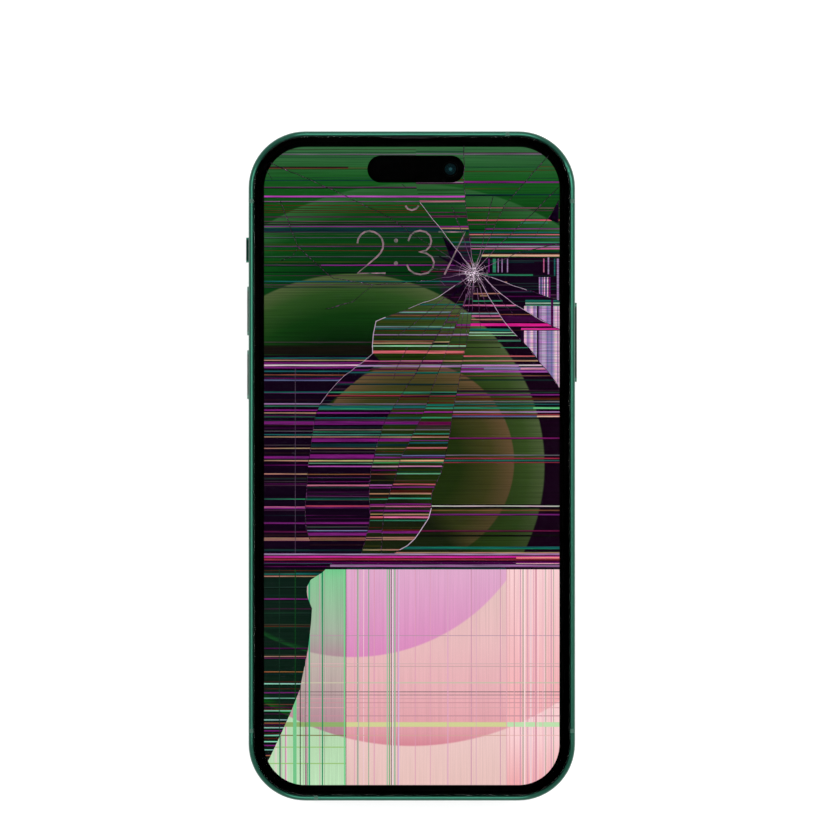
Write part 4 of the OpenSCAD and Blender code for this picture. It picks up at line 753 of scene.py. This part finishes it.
def threads(name, lines, height, thin, flatness):
    """Fine threads along lines, as one mesh pressed flat. A line's point may hold its own thickness."""
    drawn = bpy.data.curves.new(name, "CURVE")
    drawn.dimensions, drawn.bevel_depth, drawn.bevel_resolution = "3D", thin * mm, 0
    drawn.use_fill_caps = True
    for line in lines:
        path = drawn.splines.new("POLY")
        path.points.add(len(line) - 1)
        for point, (x, y, *thick) in zip(path.points, line):
            point.co = (x * mm, y * mm, height * mm, 1)
            point.radius = thick[0] if thick else 1
    made = bpy.data.objects.new(name, drawn)
    bpy.context.scene.collection.objects.link(made)
    clear_selection()
    made.select_set(True)
    bpy.context.view_layer.objects.active = made
    bpy.ops.object.convert(target="MESH")
    made = bpy.context.object
    bpy.ops.object.mode_set(mode="EDIT")
    bpy.ops.mesh.select_all(action="SELECT")
    bpy.ops.transform.resize(value=(1, 1, flatness), center_override=(0, 0, height * mm))
    bpy.ops.mesh.normals_make_consistent(inside=False)
    bpy.ops.object.mode_set(mode="OBJECT")
    return made


clock_light = Finish("clock_light", {"Base Color": ink(10, 8, 10), "Specular IOR Level": 0.0,
                                     "Emission Strength": 0.8})
clock_light.set({"Emission Color": clock_light.mix(ink(70, 92, 78), ink(176, 136, 152),
                                                   ((clock_light.noise(1.6, 3) - 0.32) * 3).clamp())})
clock = threads("clock_strokes", clock_lines, clock_height, clock_stroke, 0.02)
clock.data.materials.append(clock_light.material)
clear_selection()
bpy.ops.mesh.primitive_circle_add(vertices=20, radius=0.45 * mm, fill_type="NGON",
                                  location=(-3.5 * mm, 49.7 * mm, clock_height * mm))
dot = bpy.context.object
bpy.ops.object.mode_set(mode="EDIT")
bpy.ops.mesh.inset(thickness=0.12 * mm, depth=0)
bpy.ops.mesh.select_all(action="SELECT")
bpy.ops.mesh.duplicate_move(TRANSFORM_OT_translate={"value": (0, -5.0 * mm, 0)})
bpy.ops.object.mode_set(mode="OBJECT")
bpy.ops.object.transform_apply(location=True, rotation=True, scale=True)
dot.data.materials.append(clock_light.material)
clock = joined([clock, dot])
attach(clock, "phone")

# ------------------------------------------------------------------ Cover glass and its black print
# Flat strengthened glass, ground round at its edge and glued to the plastic frame. A black border
# and the black camera cutout are printed on its underside.

glass = Finish("clear_glass", {"Base Color": (0.985, 0.99, 0.99, 1), "Transmission Weight": 1.0,
                               "IOR": 1.28, "Roughness": 0.0})
handling = glass.noise(12, 2)
glass.set({"Normal": glass.relief(handling, 0.001)})
coat(glass.material, "cover_glass")

print_height, print_width, print_length, print_corner, print_border = 9.28, 69.6, 145.2, 11.3, 2.25
print_ink = grained("border_ink", (1, 1, 1), (4, 4, 5), 0.45, 0.0, 6, 0.1, 0.0005)
print_ink.set({"Specular IOR Level": 0.0})
clear_selection()
bpy.ops.mesh.primitive_plane_add(size=mm, location=(0, 0, print_height * mm))
border = bpy.context.object
border.name = "border_print"
bpy.ops.object.mode_set(mode="EDIT")
bpy.ops.transform.resize(value=(print_width, print_length, 1))
bpy.ops.mesh.bevel(affect="VERTICES", offset=print_corner * mm, segments=24, profile=0.5)
bpy.ops.mesh.select_all(action="SELECT")
bpy.ops.mesh.inset(thickness=print_border * mm, depth=0)
bpy.ops.mesh.delete(type="FACE")
bpy.ops.object.mode_set(mode="OBJECT")
bpy.ops.object.transform_apply(location=True, rotation=True, scale=True)
border.data.materials.append(print_ink.material)
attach(border, "phone")

pill_width, pill_length, pill_x, pill_y, camera_window = 6.0, 21.4, 0.9, 65.45, 1.65
clear_selection()
bpy.ops.mesh.primitive_plane_add(size=mm, location=(pill_x * mm, pill_y * mm, print_height * mm))
pill = bpy.context.object
pill.name = "cutout_print"
bpy.ops.object.mode_set(mode="EDIT")
bpy.ops.transform.resize(value=(pill_length, pill_width, 1))
bpy.ops.mesh.bevel(affect="VERTICES", offset=pill_width / 2 * mm * 0.999, segments=18, profile=0.5)
bpy.ops.mesh.select_all(action="SELECT")
bpy.ops.mesh.delete(type="ONLY_FACE")
bpy.ops.mesh.primitive_circle_add(vertices=40, radius=camera_window * mm,
                                  location=(camera_x * mm, camera_y * mm, print_height * mm))
bpy.ops.mesh.select_all(action="SELECT")
bpy.ops.mesh.fill()
bpy.ops.object.mode_set(mode="OBJECT")
bpy.ops.object.transform_apply(location=True, rotation=True, scale=True)
pill.data.materials.append(print_ink.material)
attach(pill, "phone")

# ------------------------------------------------------------------ Cracks and crushed glass
# One hard blow at the upper right crushed a small pit and sent long cracks through the glass.
# Crack faces catch the light of the screen close to the blow and look black farther out; that light is
# painted, as an emission of their own that fades with distance from the blow.

crack_height, crack_flat, chip_height = 9.9, 0.5, 9.95
ray_count, ring_count, chip_count = 46, 26, 110
shards = random.Random(7)


def wavy(line, start, end, sway=0.12, reach=1.6):
    """The line with points added between its own, each a little off it, going from start to end thickness."""
    points = []
    for before, after in zip(line, line[1:]):
        far = math.dist(before, after)
        parts = max(1, round(far / reach))
        for part in range(parts):
            share = part / parts
            off = shards.uniform(-sway, sway) if part else 0
            points.append((before[0] + (after[0] - before[0]) * share + off * (after[1] - before[1]) / far,
                           before[1] + (after[1] - before[1]) * share - off * (after[0] - before[0]) / far))
    points.append(line[-1])
    return [(x, y, start + (end - start) * n / len(points)) for n, (x, y) in enumerate(points)]


upper_cracks = [[blow_at, (12.8, 46), (11, 51.7), (8.8, 57.2)],
                [blow_at, (13.2, 46), (12.6, 52.2), (11.9, 57.2), (11.5, 62.8), (11.5, 70.6)],
                [blow_at, (15, 46.6), (15.9, 51.1), (16.5, 53.9), (17.9, 59.4)],
                [blow_at, (15.4, 46.4), (17, 50), (20.5, 57.7), (29.8, 68), (30.3, 68.6)],
                [blow_at, (19.4, 48.9), (25.4, 54.6), (32.4, 61.4)],
                [blow_at, (8.6, 45.8), (1, 50.5), (-5.5, 55.1), (-15.9, 60.1), (-23.9, 63.7),
                 (-31.3, 66.9)],
                [blow_at, (11.4, 42.3), (4.1, 40.9), (-8.5, 39.9), (-17.4, 41.4), (-25, 48.2),
                 (-29, 58.4)],
                [(-25, 48.2), (-26.5, 46.0), (-28.9, 45.2)],
                [(-8.5, 39.9), (-13, 36.2), (-19, 34.6)],
                [blow_at, (17.5, 44.4), (24, 47.2), (32.4, 49.0)],
                [blow_at, (9.4, 43.2), (4.2, 43.6)]]
lower_hairs = [[(7.4, 37.2), (4.6, 35.0), (2.0, 32.7), (-0.1, 30.9), (-2.7, 29.1), (-4.2, 28.0)],
               [(8.6, 36.2), (6.4, 33.9), (4.9, 32.0), (3.3, 30.2), (1.9, 28.4)],
               [(9.7, 35.5), (8.3, 33.3), (7.4, 31.8), (6.4, 30.0), (5.3, 28.2), (4.6, 26.7), (3.5, 25.1),
                (2.4, 23.2), (1.3, 21.1), (0.2, 19.1)],
               [(9.9, 31.6), (9.2, 29.8), (8.4, 27.5)],
               [(-0.9, 26.2), (-2.0, 24.1), (-3.5, 21.4), (-4.0, 19.1)],
               [(32.6, 58.6), (30.6, 55.3), (28.6, 52.8), (27.1, 50.6)],
               [(6.1, 41.0), (7.4, 39.7)],
               [(-2.2, 62.2), (-1.2, 61.2)],
               [(-32.0, 65.2), (-30.7, 63.0)],
               [(12.0, 38.0), (11.2, 33.0), (10.4, 26.0)],
               [(12.9, 38.5), (12.2, 32.2), (12.0, 28.0)],
               [(13.0, 39.2), (11.6, 36.0), (9.0, 31.9), (7.6, 28.2)],
               [(17.6, 39.6), (19.9, 36.2), (22.9, 33.0)],
               [(15.0, 39.6), (16.2, 35.6), (17.7, 32.4)],
               [(14.4, 39.2), (14.9, 34.0), (15.2, 30.2)]]
# Painted light: the cracks glow by emission, pale near the blow and fading to black farther out, with purple
# dashes.
crack_light = Finish("crack_light", {"Base Color": ink(20, 16, 20), "Roughness": 0.25,
                                     "Emission Strength": 1.08})
away = ((crack_light.along(0) - blow_at[0]) ** 2 + (crack_light.along(1) - blow_at[1]) ** 2) ** 0.5
dashes = ((crack_light.noise(0.5, 2) - 0.53) * 9).clamp() * 0.7
glow = by_steps(crack_light, away * (crack_light.noise(0.9, 2) * 0.8 + 0.6), [
    (0, (200, 180, 198)), (1.8, (184, 156, 178)), (3.4, (128, 98, 126)), (6, (84, 52, 84)),
    (8.5, (40, 14, 40)), (12, (8, 3, 10)), (60, (2, 3, 4))])
crack_light.set({"Emission Color": crack_light.mix(glow, ink(104, 34, 104), dashes)})
long_cracks = (crack_1, crack_2, crack_3, crack_4, crack_5, crack_6, crack_7)
main_cracks = [wavy(line, 0.45, 0.95) for line in long_cracks]
main_cracks += [wavy(line, 0.55, 1.15) for line in upper_cracks]
main_cracks += [wavy(line, 0.8, 0.5, 0.06) for line in lower_hairs]
cracks = threads("glass_cracks", main_cracks, crack_height, 0.08, crack_flat)
cracks.data.materials.append(crack_light.material)
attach(cracks, "phone")

# Painted highlight: the brightest cracks glow pale by emission.
bright_light = Finish("bright_crack_light", {"Base Color": ink(24, 20, 24), "Roughness": 0.25,
                                             "Emission Strength": 1.08})
bright_light.set({"Emission Color": bright_light.mix(ink(120, 84, 120), ink(226, 206, 226),
                                                     bright_light.noise(0.8, 2))})
lit_lines = [wavy([(13.4, 43.2), (7.6, 50.6), (1.8, 58.1)], 0.7, 0.55, 0.1),
             wavy(crack_1[3:8], 1.1, 0.9, 0.05),
             wavy(crack_1[7:13], 0.5, 0.4, 0.05), wavy(crack_4[11:17], 1.2, 1.0, 0.05),
             wavy([(9.5, 39.8), (5.8, 37.2), (-0.7, 34.7)], 0.6, 0.4, 0.1),
             wavy(crack_6[1:8], 0.8, 0.6, 0.08), wavy(crack_5[1:6], 0.8, 0.6, 0.08),
             wavy(crack_7[1:5], 0.7, 0.4, 0.08)]
bright = threads("bright_cracks", lit_lines, crack_height + 0.02, 0.07, crack_flat)
bright.data.materials.append(bright_light.material)
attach(bright, "phone")

web = []
for number in range(ray_count):
    turn = shards.uniform(0, 2 * math.pi)
    lower_left = 0.5 + 0.5 * math.cos(turn - math.radians(235))
    near, far = shards.uniform(0.9, 1.8), shards.uniform(1.9, 2.6) + 3.6 * lower_left * shards.random()
    bend = shards.uniform(-0.25, 0.25)
    web.append([(blow_at[0] + reach * math.cos(turn + bend * reach / far),
                 blow_at[1] + reach * math.sin(turn + bend * reach / far), thick)
                for reach, thick in ((near, 0.9), ((near + far) / 2, 0.8), (far, 0.5))])
for number in range(ring_count):
    turn, reach = shards.uniform(0, 2 * math.pi), shards.uniform(0.5, 3.4)
    span = shards.uniform(0.2, 0.6)
    web.append([(blow_at[0] + (reach + wobble) * math.cos(turn + part),
                 blow_at[1] + (reach + wobble) * math.sin(turn + part), 0.8)
                for part, wobble in ((0, 0), (span / 2, shards.uniform(-0.1, 0.1)),
                                     (span, shards.uniform(-0.1, 0.2)))])
rays = threads("crushed_rays", web, crack_height + 0.03, 0.032, crack_flat)
rays.data.materials.append(crack_light.material)
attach(rays, "phone")

# Painted glints: the crushed glass glows by emission, pale on scattered patches and dark between them.
chip_light = Finish("crushed_glass", {"Base Color": ink(150, 140, 150), "Roughness": 0.3,
                                      "Emission Strength": 1.0})
painted_glints = ((chip_light.noise(0.3, 1) - 0.42) * 6).clamp()
chip_light.set({"Emission Color": chip_light.mix(ink(26, 14, 26), ink(226, 208, 222), painted_glints)})
chips = []
for number in range(chip_count):
    turn, reach = shards.uniform(0, 2 * math.pi), 1.75 * shards.random() ** 0.7
    clear_selection()
    bpy.ops.mesh.primitive_cone_add(
        vertices=3, radius1=shards.uniform(0.05, 0.17) * mm, radius2=0, depth=0.06 * mm,
        location=((blow_at[0] - 0.4 + reach * math.cos(turn)) * mm,
                  (blow_at[1] - 0.5 + reach * math.sin(turn)) * mm, chip_height * mm),
        rotation=(shards.uniform(-0.3, 0.3), shards.uniform(-0.3, 0.3), shards.uniform(0, 6)))
    chip = bpy.context.object
    bpy.ops.object.mode_set(mode="EDIT")
    bpy.ops.transform.resize(value=(shards.uniform(0.6, 1.6), shards.uniform(0.6, 1.6), 1))
    bpy.ops.object.mode_set(mode="OBJECT")
    chips.append(chip)
crushed = joined(chips)
crushed.name = "crushed_glass"
bpy.ops.object.transform_apply(location=True, rotation=True, scale=True)
crushed.data.materials.append(chip_light.material)
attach(crushed, "phone")

# ------------------------------------------------------------------ Front camera, sensor and earpiece
# Under the cutout sit a face sensor and a small camera, both in black moulded plastic. The camera
# has a coated lens with a round pupil. The earpiece sounds through a woven slit at the top edge.

moulded = grained("moulded_black", (12, 12, 14), (24, 24, 27), 0.5, 0.0, 4, 0.12, 0.006)
coat(moulded.material, "face_sensor", "front_camera", "display_frame", "earpiece_speaker", "loudspeaker",
     "socket_tongue")
# Painted reflection and glow: the teal rings and the pale ring round the pupil stand in for light mirrored by
# the lens coating, and the emission makes the lens glow.
lens_painted_sheen = Finish("front_lens_painted_sheen", {"Coat Weight": 0.5, "Coat Roughness": 0.02,
                                             "Emission Strength": 0.3})
reach = ((lens_painted_sheen.along(0) - camera_x) ** 2 + (lens_painted_sheen.along(1) - camera_y) ** 2) ** 0.5
painted_reflex_rings = by_steps(lens_painted_sheen, reach * (lens_painted_sheen.noise(0.6, 1) * 0.2 + 0.9), [
    (0, (10, 32, 38)), (0.2, (38, 78, 82)), (0.36, (14, 44, 50)), (0.6, (7, 32, 36)), (0.86, (4, 20, 25)),
    (1.02, (7, 30, 34)), (1.3, (2, 5, 7))])
lens_painted_sheen.set({"Base Color": painted_reflex_rings, "Emission Color": painted_reflex_rings,
                  "Roughness": lens_painted_sheen.noise(0.5, 1) * 0.1 + 0.1})
coat(lens_painted_sheen.material, "front_camera_lens")

trim_radius, trim_height = 1.62, 9.245
clear_selection()
bpy.ops.mesh.primitive_circle_add(vertices=48, radius=trim_radius * mm, fill_type="NGON",
                                  location=(camera_x * mm, camera_y * mm, trim_height * mm))
camera_trim = bpy.context.object
camera_trim.name = "camera_trim"
bpy.ops.object.mode_set(mode="EDIT")
bpy.ops.mesh.inset(thickness=0.2 * mm, depth=0.012 * mm)
bpy.ops.mesh.inset(thickness=0.12 * mm, depth=-0.012 * mm)
bpy.ops.mesh.delete(type="FACE")
bpy.ops.object.mode_set(mode="OBJECT")
bpy.ops.object.transform_apply(location=True, rotation=True, scale=True)
camera_trim.data.materials.append(print_ink.material)
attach(camera_trim, "phone")


def woven(name, low, high, pitch, axes):
    """A fine wire mesh: two sets of round wires that cross, pitch millimetres apart, with painted shade
    darkening the gaps between them.
    """
    made = Finish(name, {"Metallic": 1.0})
    wires = [made.calc("ABSOLUTE",
                       made.calc("SINE", made.along(axis) * (math.pi / pitch))) for axis in axes]
    weave = made.calc("MAXIMUM", *wires)
    # Painted shade: nearly black in the gaps between the wires, lighter along their crowns.
    made.set({"Base Color": made.mix(ink(*low), ink(*high), weave ** 3), "Roughness": 0.55 - weave * 0.2,
              "Normal": made.relief(weave, 0.03)})
    return made


coat(woven("earpiece_weave", (6, 6, 7), (60, 62, 64), 0.16, (0, 2)).material, "earpiece_mesh")
coat(woven("grille_weave", (8, 8, 9), (84, 86, 88), 0.16, (0, 2)).material, "grille_meshes")

# ------------------------------------------------------------------ Behind the panel
# A thin steel plate carries the panel, and black adhesive seals its frame to the housing and the
# rear cover. A bracket and a flat cable hold and feed it.

rolled_steel = grained("rolled_steel", (150, 151, 154), (186, 187, 190), 0.3, 1.0, 10, 0.1, 0.002,
                       (0.15, 1, 1))
coat(rolled_steel.material, "display_plate", "camera_bracket", "vibration_motor")
glue = grained("black_adhesive", (9, 9, 10), (20, 20, 22), 0.7, 0.0, 1.5, 0.2, 0.01)
coat(glue.material, "display_seal", "rear_seal")
rubber = grained("seal_rubber", (14, 14, 15), (26, 26, 27), 0.75, 0.0, 1.0, 0.1, 0.008)
coat(rubber.material, "sim_tray_seal")


def ribbed(name, low, high, pitch, axis, rough=0.45, metal=0.0, depth=0.02):
    """Straight traces or ribs, pitch millimetres apart, over a grained ground."""
    made = Finish(name, {"Metallic": metal})
    trace = made.calc("PINGPONG", made.along(axis), pitch / 2) * (2 / pitch)
    sharp = ((trace - 0.35) * 6).clamp()
    made.set({"Base Color": made.mix(ink(*low), ink(*high), sharp * 0.8 + made.noise(0.4, 2) * 0.2),
              "Roughness": rough + made.noise(0.3, 2) * 0.1, "Normal": made.relief(sharp, depth)})
    return made


flex_film = ribbed("flex_film", (74, 38, 10), (158, 92, 34), 0.5, 1)
coat(flex_film.material, "display_cable", "dock_flex", "battery_cable", "left_button_flex",
     "right_button_flex")

# ------------------------------------------------------------------ Rear cover
# A sheet of glass with a frosted, ion-strengthened outer face, dyed green behind. The camera island
# is ground from the same glass and polished clear.

rear_glass = Finish("frosted_green_glass", {"Coat Roughness": 0.05})
island = rear_glass.along(2) < 2.2
frost, clouds = rear_glass.noise(0.08, 3), rear_glass.noise(30, 2)
rear_glass.set({"Base Color": rear_glass.mix(ink(58, 104, 88), ink(70, 118, 100),
                                             clouds * 0.7 + frost * 0.3),
                "Roughness": (0.42 + frost * 0.14) * (1 - island) + island * 0.1,
                "Coat Weight": island * 0.9,
                "Normal": rear_glass.relief(frost, 0.004, 0.7)})
coat(rear_glass.material, "rear_cover")

# ------------------------------------------------------------------ Rear cameras and flash
# Each camera is a black module under a clear window, in a turned and polished metal ring. The
# flash is a yellow phosphor chip under a moulded lens with fine rings.

turned = Finish("turned_ring", {"Metallic": 1.0})
lathe = turned.noise(0.05, 2, (0.2, 0.2, 4))
turned.set({"Base Color": turned.mix(ink(112, 128, 120), ink(150, 166, 158), lathe),
            "Roughness": lathe * 0.12 + 0.16,
            "Normal": turned.relief(lathe, 0.002)})
coat(turned.material, "upper_lens_ring", "lower_lens_ring")
window = Finish("lens_window_glass", {"Base Color": (0.97, 0.98, 0.98, 1), "Transmission Weight": 1.0,
                                      "IOR": 1.16})
window.set({"Roughness": window.noise(2, 2) * 0.01,
            "Normal": window.relief(window.noise(0.5, 2), 0.0001)})
coat(window.material, "upper_lens_window", "lower_lens_window")
camera_shell = grained("camera_shell", (10, 10, 12), (22, 22, 26), 0.38, 0.3, 3, 0.1, 0.003)
coat(camera_shell.material, "main_rear_camera", "wide_rear_camera")

barrel_radius, barrel_gap = 4.2, 0.06
barrel_steps = [(3.9, 0.0), (3.5, -0.03), (2.9, 0.03), (2.6, -0.03), (2.1, 0.03), (1.8, -0.03)]
for name, module in (("upper", "upper_lens_window"), ("lower", "lower_lens_window")):
    module_low, module_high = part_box(module)
    middle = (module_low + module_high) / 2
    clear_selection()
    bpy.ops.mesh.primitive_circle_add(vertices=64, radius=barrel_radius * mm, fill_type="NGON",
                                      location=(middle.x, middle.y, module_high.z + barrel_gap * mm),
                                      rotation=(math.pi, 0, 0))
    barrel = bpy.context.object
    barrel.name = name + "_lens_barrel"
    bpy.ops.object.mode_set(mode="EDIT")
    before = barrel_radius
    for radius, step in barrel_steps:
        bpy.ops.mesh.inset(thickness=(before - radius) * mm, depth=step * mm)
        before = radius
    bpy.ops.object.mode_set(mode="OBJECT")
    bpy.ops.object.transform_apply(location=True, rotation=True, scale=True)
    # Painted reflection: the blue, purple and teal rings stand in for light mirrored by the lens coatings;
    # the grey and black rings follow the barrel's steps.
    barrel_painted_sheen = Finish(name + "_lens_painted_sheen", {"Coat Weight": 0.25, "Coat Roughness": 0.03,
                                             "Specular IOR Level": 0.25})
    reach = ((barrel_painted_sheen.along(0) - middle.x / mm) ** 2 + (barrel_painted_sheen.along(1) - middle.y / mm) ** 2) ** 0.5
    rings = by_steps(barrel_painted_sheen, reach * (barrel_painted_sheen.noise(1.5, 1) * 0.1 + 0.95), [
        (0, (8, 12, 26)), (0.8, (24, 44, 92)), (1.3, (84, 48, 124)), (1.75, (26, 96, 100)),
        (2.1, (12, 12, 14)), (2.9, (54, 54, 58)), (3.5, (10, 10, 11)), (4.2, (34, 34, 37))])
    barrel_painted_sheen.set({"Base Color": rings, "Roughness": barrel_painted_sheen.noise(0.4, 1) * 0.1 + 0.15})
    barrel.data.materials.append(barrel_painted_sheen.material)
    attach(barrel, "phone")

flash_low, flash_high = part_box("flash_lens")
flash_middle = (flash_low + flash_high) / 2
flash = Finish("flash_lens_rings", {"Transmission Weight": 0.25, "IOR": 1.4})
reach = ((flash.along(0) - flash_middle.x / mm) ** 2 + (flash.along(1) - flash_middle.y / mm) ** 2) ** 0.5
rings = flash.calc("PINGPONG", reach, 0.16) * 6.25
flash.set({"Base Color": flash.mix(ink(232, 226, 196), ink(250, 246, 226), rings),
           "Roughness": rings * 0.1 + 0.12,
           "Normal": flash.relief(rings, 0.03)})
coat(flash.material, "flash_lens")
coat(grained("flash_phosphor", (214, 176, 40), (236, 204, 70), 0.6, 0.0, 0.8, 0.1, 0.006).material,
     "flash_led")

# ------------------------------------------------------------------ Battery
# A flat cell in matt black foil, welded round its edge, stuck down with pull tape and joined to the
# board by a short flat cable.

foil = grained("battery_foil", (34, 35, 38), (52, 53, 57), 0.4, 0.3, 12, 0.5, 0.02)
coat(foil.material, "battery")
pull_tape = ribbed("pull_tape", (198, 198, 192), (224, 224, 218), 1.2, 0, 0.5, 0.0, 0.004)
coat(pull_tape.material, "battery_tape")

# ------------------------------------------------------------------ Logic board
# A green fibreglass board with black chips under a pressed steel shield, held by small steel
# screws. Fine copper traces show through the solder mask.

board = Finish("solder_mask", {})
lanes = board.node("ShaderNodeTexBrick", {"offset": 0.37},
                   {"Vector": board.place(), "Scale": 0.55, "Mortar Size": 0.03, "Brick Width": 1.3,
                    "Row Height": 0.42, "Color1": ink(16, 66, 46), "Color2": ink(22, 82, 56),
                    "Mortar": ink(72, 118, 72)})
spots = board.node("ShaderNodeTexVoronoi", {}, {"Vector": board.place(), "Scale": 0.8})
via = (spots < 0.13)
board.set({"Base Color": board.mix(lanes, ink(196, 160, 84), via),
           "Roughness": board.noise(0.5, 2) * 0.1 + 0.3,
           "Metallic": via * 0.9, "Normal": board.relief(spots, 0.02, 0.4)})
coat(board.material, "logic_board")
coat(grained("chip_resin", (18, 18, 20), (34, 34, 37), 0.42, 0.0, 6, 0.08, 0.003).material, "board_chips")
shield = Finish("pressed_shield", {"Metallic": 1.0})
dimples = shield.node("ShaderNodeTexVoronoi", {"feature": "SMOOTH_F1"},
                      {"Vector": shield.place(), "Scale": 0.9, "Randomness": 0.0})
shield.set({"Base Color": shield.mix(ink(160, 162, 166), ink(196, 198, 202), shield.noise(4, 3)),
            "Roughness": shield.noise(0.3, 2) * 0.15 + 0.28,
            "Normal": shield.relief((dimples * 3).clamp(), 0.05)})
coat(shield.material, "board_shield", "sim_reader")
screw_steel = grained("screw_steel", (146, 148, 152), (190, 192, 196), 0.22, 1.0, 1.5, 0.05, 0.002)
coat(screw_steel.material, "board_screws", "bottom_screws")
coat(grained("microphone_gold", (176, 132, 60), (214, 172, 92), 0.3, 1.0, 0.8, 0.08, 0.002).material,
     "bottom_microphone")

# ------------------------------------------------------------------ Charging coil and magnets
# A flat spiral of copper strand on the rear cover, inside a ring of nickel plated magnets.

coil = Finish("wound_copper", {"Metallic": 1.0})
reach = (coil.along(0) ** 2 + coil.along(1) ** 2) ** 0.5
strand = coil.calc("PINGPONG", reach, 0.3) / 0.3
# Painted shade: the copper is darker towards the grooves between the windings.
coil.set({"Base Color": coil.mix(ink(96, 44, 20), ink(214, 124, 70), (strand * 1.6).clamp()),
          "Roughness": 0.42 - strand * 0.12,
          "Normal": coil.relief(strand, 0.12)})
coat(coil.material, "charging_coil")
plated = grained("plated_magnet", (150, 150, 152), (188, 188, 188), 0.24, 1.0, 5, 0.15, 0.003)
coat(plated.material, "charging_magnets")

# ------------------------------------------------------------------ Card drawer
# A green aluminium tray with a rubber seal carries the small card, which slides out of the left
# side. The card is moulded plastic with six gold contacts.

coat(anodised.material, "sim_tray")
card_plastic = grained("card_plastic", (206, 210, 214), (224, 228, 232), 0.42, 0.0, 6, 0.15, 0.004)
coat(card_plastic.material, "nano_sim_card")
gold = grained("contact_gold", (206, 160, 76), (232, 192, 108), 0.26, 1.0, 1.0, 0.05, 0.002)
card_low, card_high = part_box("nano_sim_card")
card_middle = (card_low + card_high) / 2
pads = []
pad_size, pad_step, pad_thick = (2.0, 2.6), (2.4, 3.0), 0.02
for column in (-1, 0, 1):
    for row in (-0.5, 0.5):
        clear_selection()
        bpy.ops.mesh.primitive_plane_add(size=mm, location=(
            card_middle.x + row * pad_step[0] * 1.2 * mm, card_middle.y + column * pad_step[1] * mm,
            card_high.z + pad_thick * mm))
        pad = bpy.context.object
        bpy.ops.object.mode_set(mode="EDIT")
        bpy.ops.transform.resize(value=(pad_size[0], pad_size[1], 1))
        bpy.ops.mesh.bevel(affect="VERTICES", offset=0.3 * mm, segments=4)
        bpy.ops.mesh.select_all(action="SELECT")
        bpy.ops.mesh.extrude_region_move(TRANSFORM_OT_translate={"value": (0, 0, -pad_thick * 0.9 * mm)})
        bpy.ops.mesh.select_all(action="SELECT")
        bpy.ops.mesh.normals_make_consistent(inside=False)
        bpy.ops.object.mode_set(mode="OBJECT")
        pads.append(pad)
contacts = joined(pads)
contacts.name = "card_contacts"
bpy.ops.object.transform_apply(location=True, rotation=True, scale=True)
contacts.data.materials.append(gold.material)
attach(contacts, "sim_drawer")

# ------------------------------------------------------------------ Bottom end
# A pressed steel charging socket with a plastic tongue and gold pads, two screws with a star
# recess, and the speaker and microphone openings behind woven meshes.

coat(grained("pressed_socket", (120, 122, 126), (158, 160, 164), 0.32, 1.0, 3, 0.1, 0.003,
             (1, 0.2, 1)).material, "charge_socket")
tongue_low, tongue_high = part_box("socket_tongue")
socket_pads = []
pad_count, pad_pitch, pad_width, pad_length, pad_setback = 8, 0.72, 0.36, 3.2, 0.35
for face, side in ((tongue_high.z, 1), (tongue_low.z, -1)):
    for number in range(pad_count):
        clear_selection()
        bpy.ops.mesh.primitive_cube_add(size=mm, location=(
            (number - (pad_count - 1) / 2) * pad_pitch * mm,
            tongue_low.y + (pad_length / 2 + pad_setback) * mm, face + side * 0.005 * mm))
        pad = bpy.context.object
        bpy.ops.object.mode_set(mode="EDIT")
        bpy.ops.transform.resize(value=(pad_width, pad_length, 0.03))
        bpy.ops.mesh.bevel(offset=0.006 * mm, segments=1)
        bpy.ops.object.mode_set(mode="OBJECT")
        socket_pads.append(pad)
tongue_pads = joined(socket_pads)
tongue_pads.name = "socket_contacts"
bpy.ops.object.transform_apply(location=True, rotation=True, scale=True)
tongue_pads.data.materials.append(gold.material)
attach(tongue_pads, "phone")

screw_low, screw_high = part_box("bottom_screws")
screw_radius = (screw_high.z - screw_low.z) / 2
recess_dark = grained("recess_shadow", (8, 8, 9), (20, 20, 22), 0.6, 0.4, 0.3, 0.05, 0.002)
for name, side in (("left_star_recess", -1), ("right_star_recess", 1)):
    clear_selection()
    bpy.ops.mesh.primitive_circle_add(vertices=10, radius=screw_radius * 0.62, fill_type="NGON",
                                      rotation=(math.pi / 2, 0, 0),
                                      location=(side * (screw_high.x - screw_radius),
                                                screw_low.y - 0.01 * mm,
                                                (screw_low.z + screw_high.z) / 2))
    star = bpy.context.object
    star.name = name
    bpy.ops.object.mode_set(mode="EDIT")
    bpy.ops.mesh.inset(thickness=screw_radius * 0.12, depth=0)
    bpy.ops.mesh.select_all(action="DESELECT")
    shape = bmesh.from_edit_mesh(star.data)
    rim = sorted((v for v in shape.verts if v.is_boundary), key=lambda v: math.atan2(v.co.y, v.co.x))
    for vertex in rim[::2]:
        vertex.select = True
    bmesh.update_edit_mesh(star.data)
    bpy.ops.transform.resize(value=(0.72, 0.72, 0.72), center_override=tuple(star.location))
    bpy.ops.object.mode_set(mode="OBJECT")
    bpy.ops.object.transform_apply(location=True, rotation=True, scale=True)
    star.data.materials.append(recess_dark.material)
    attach(star, "phone")
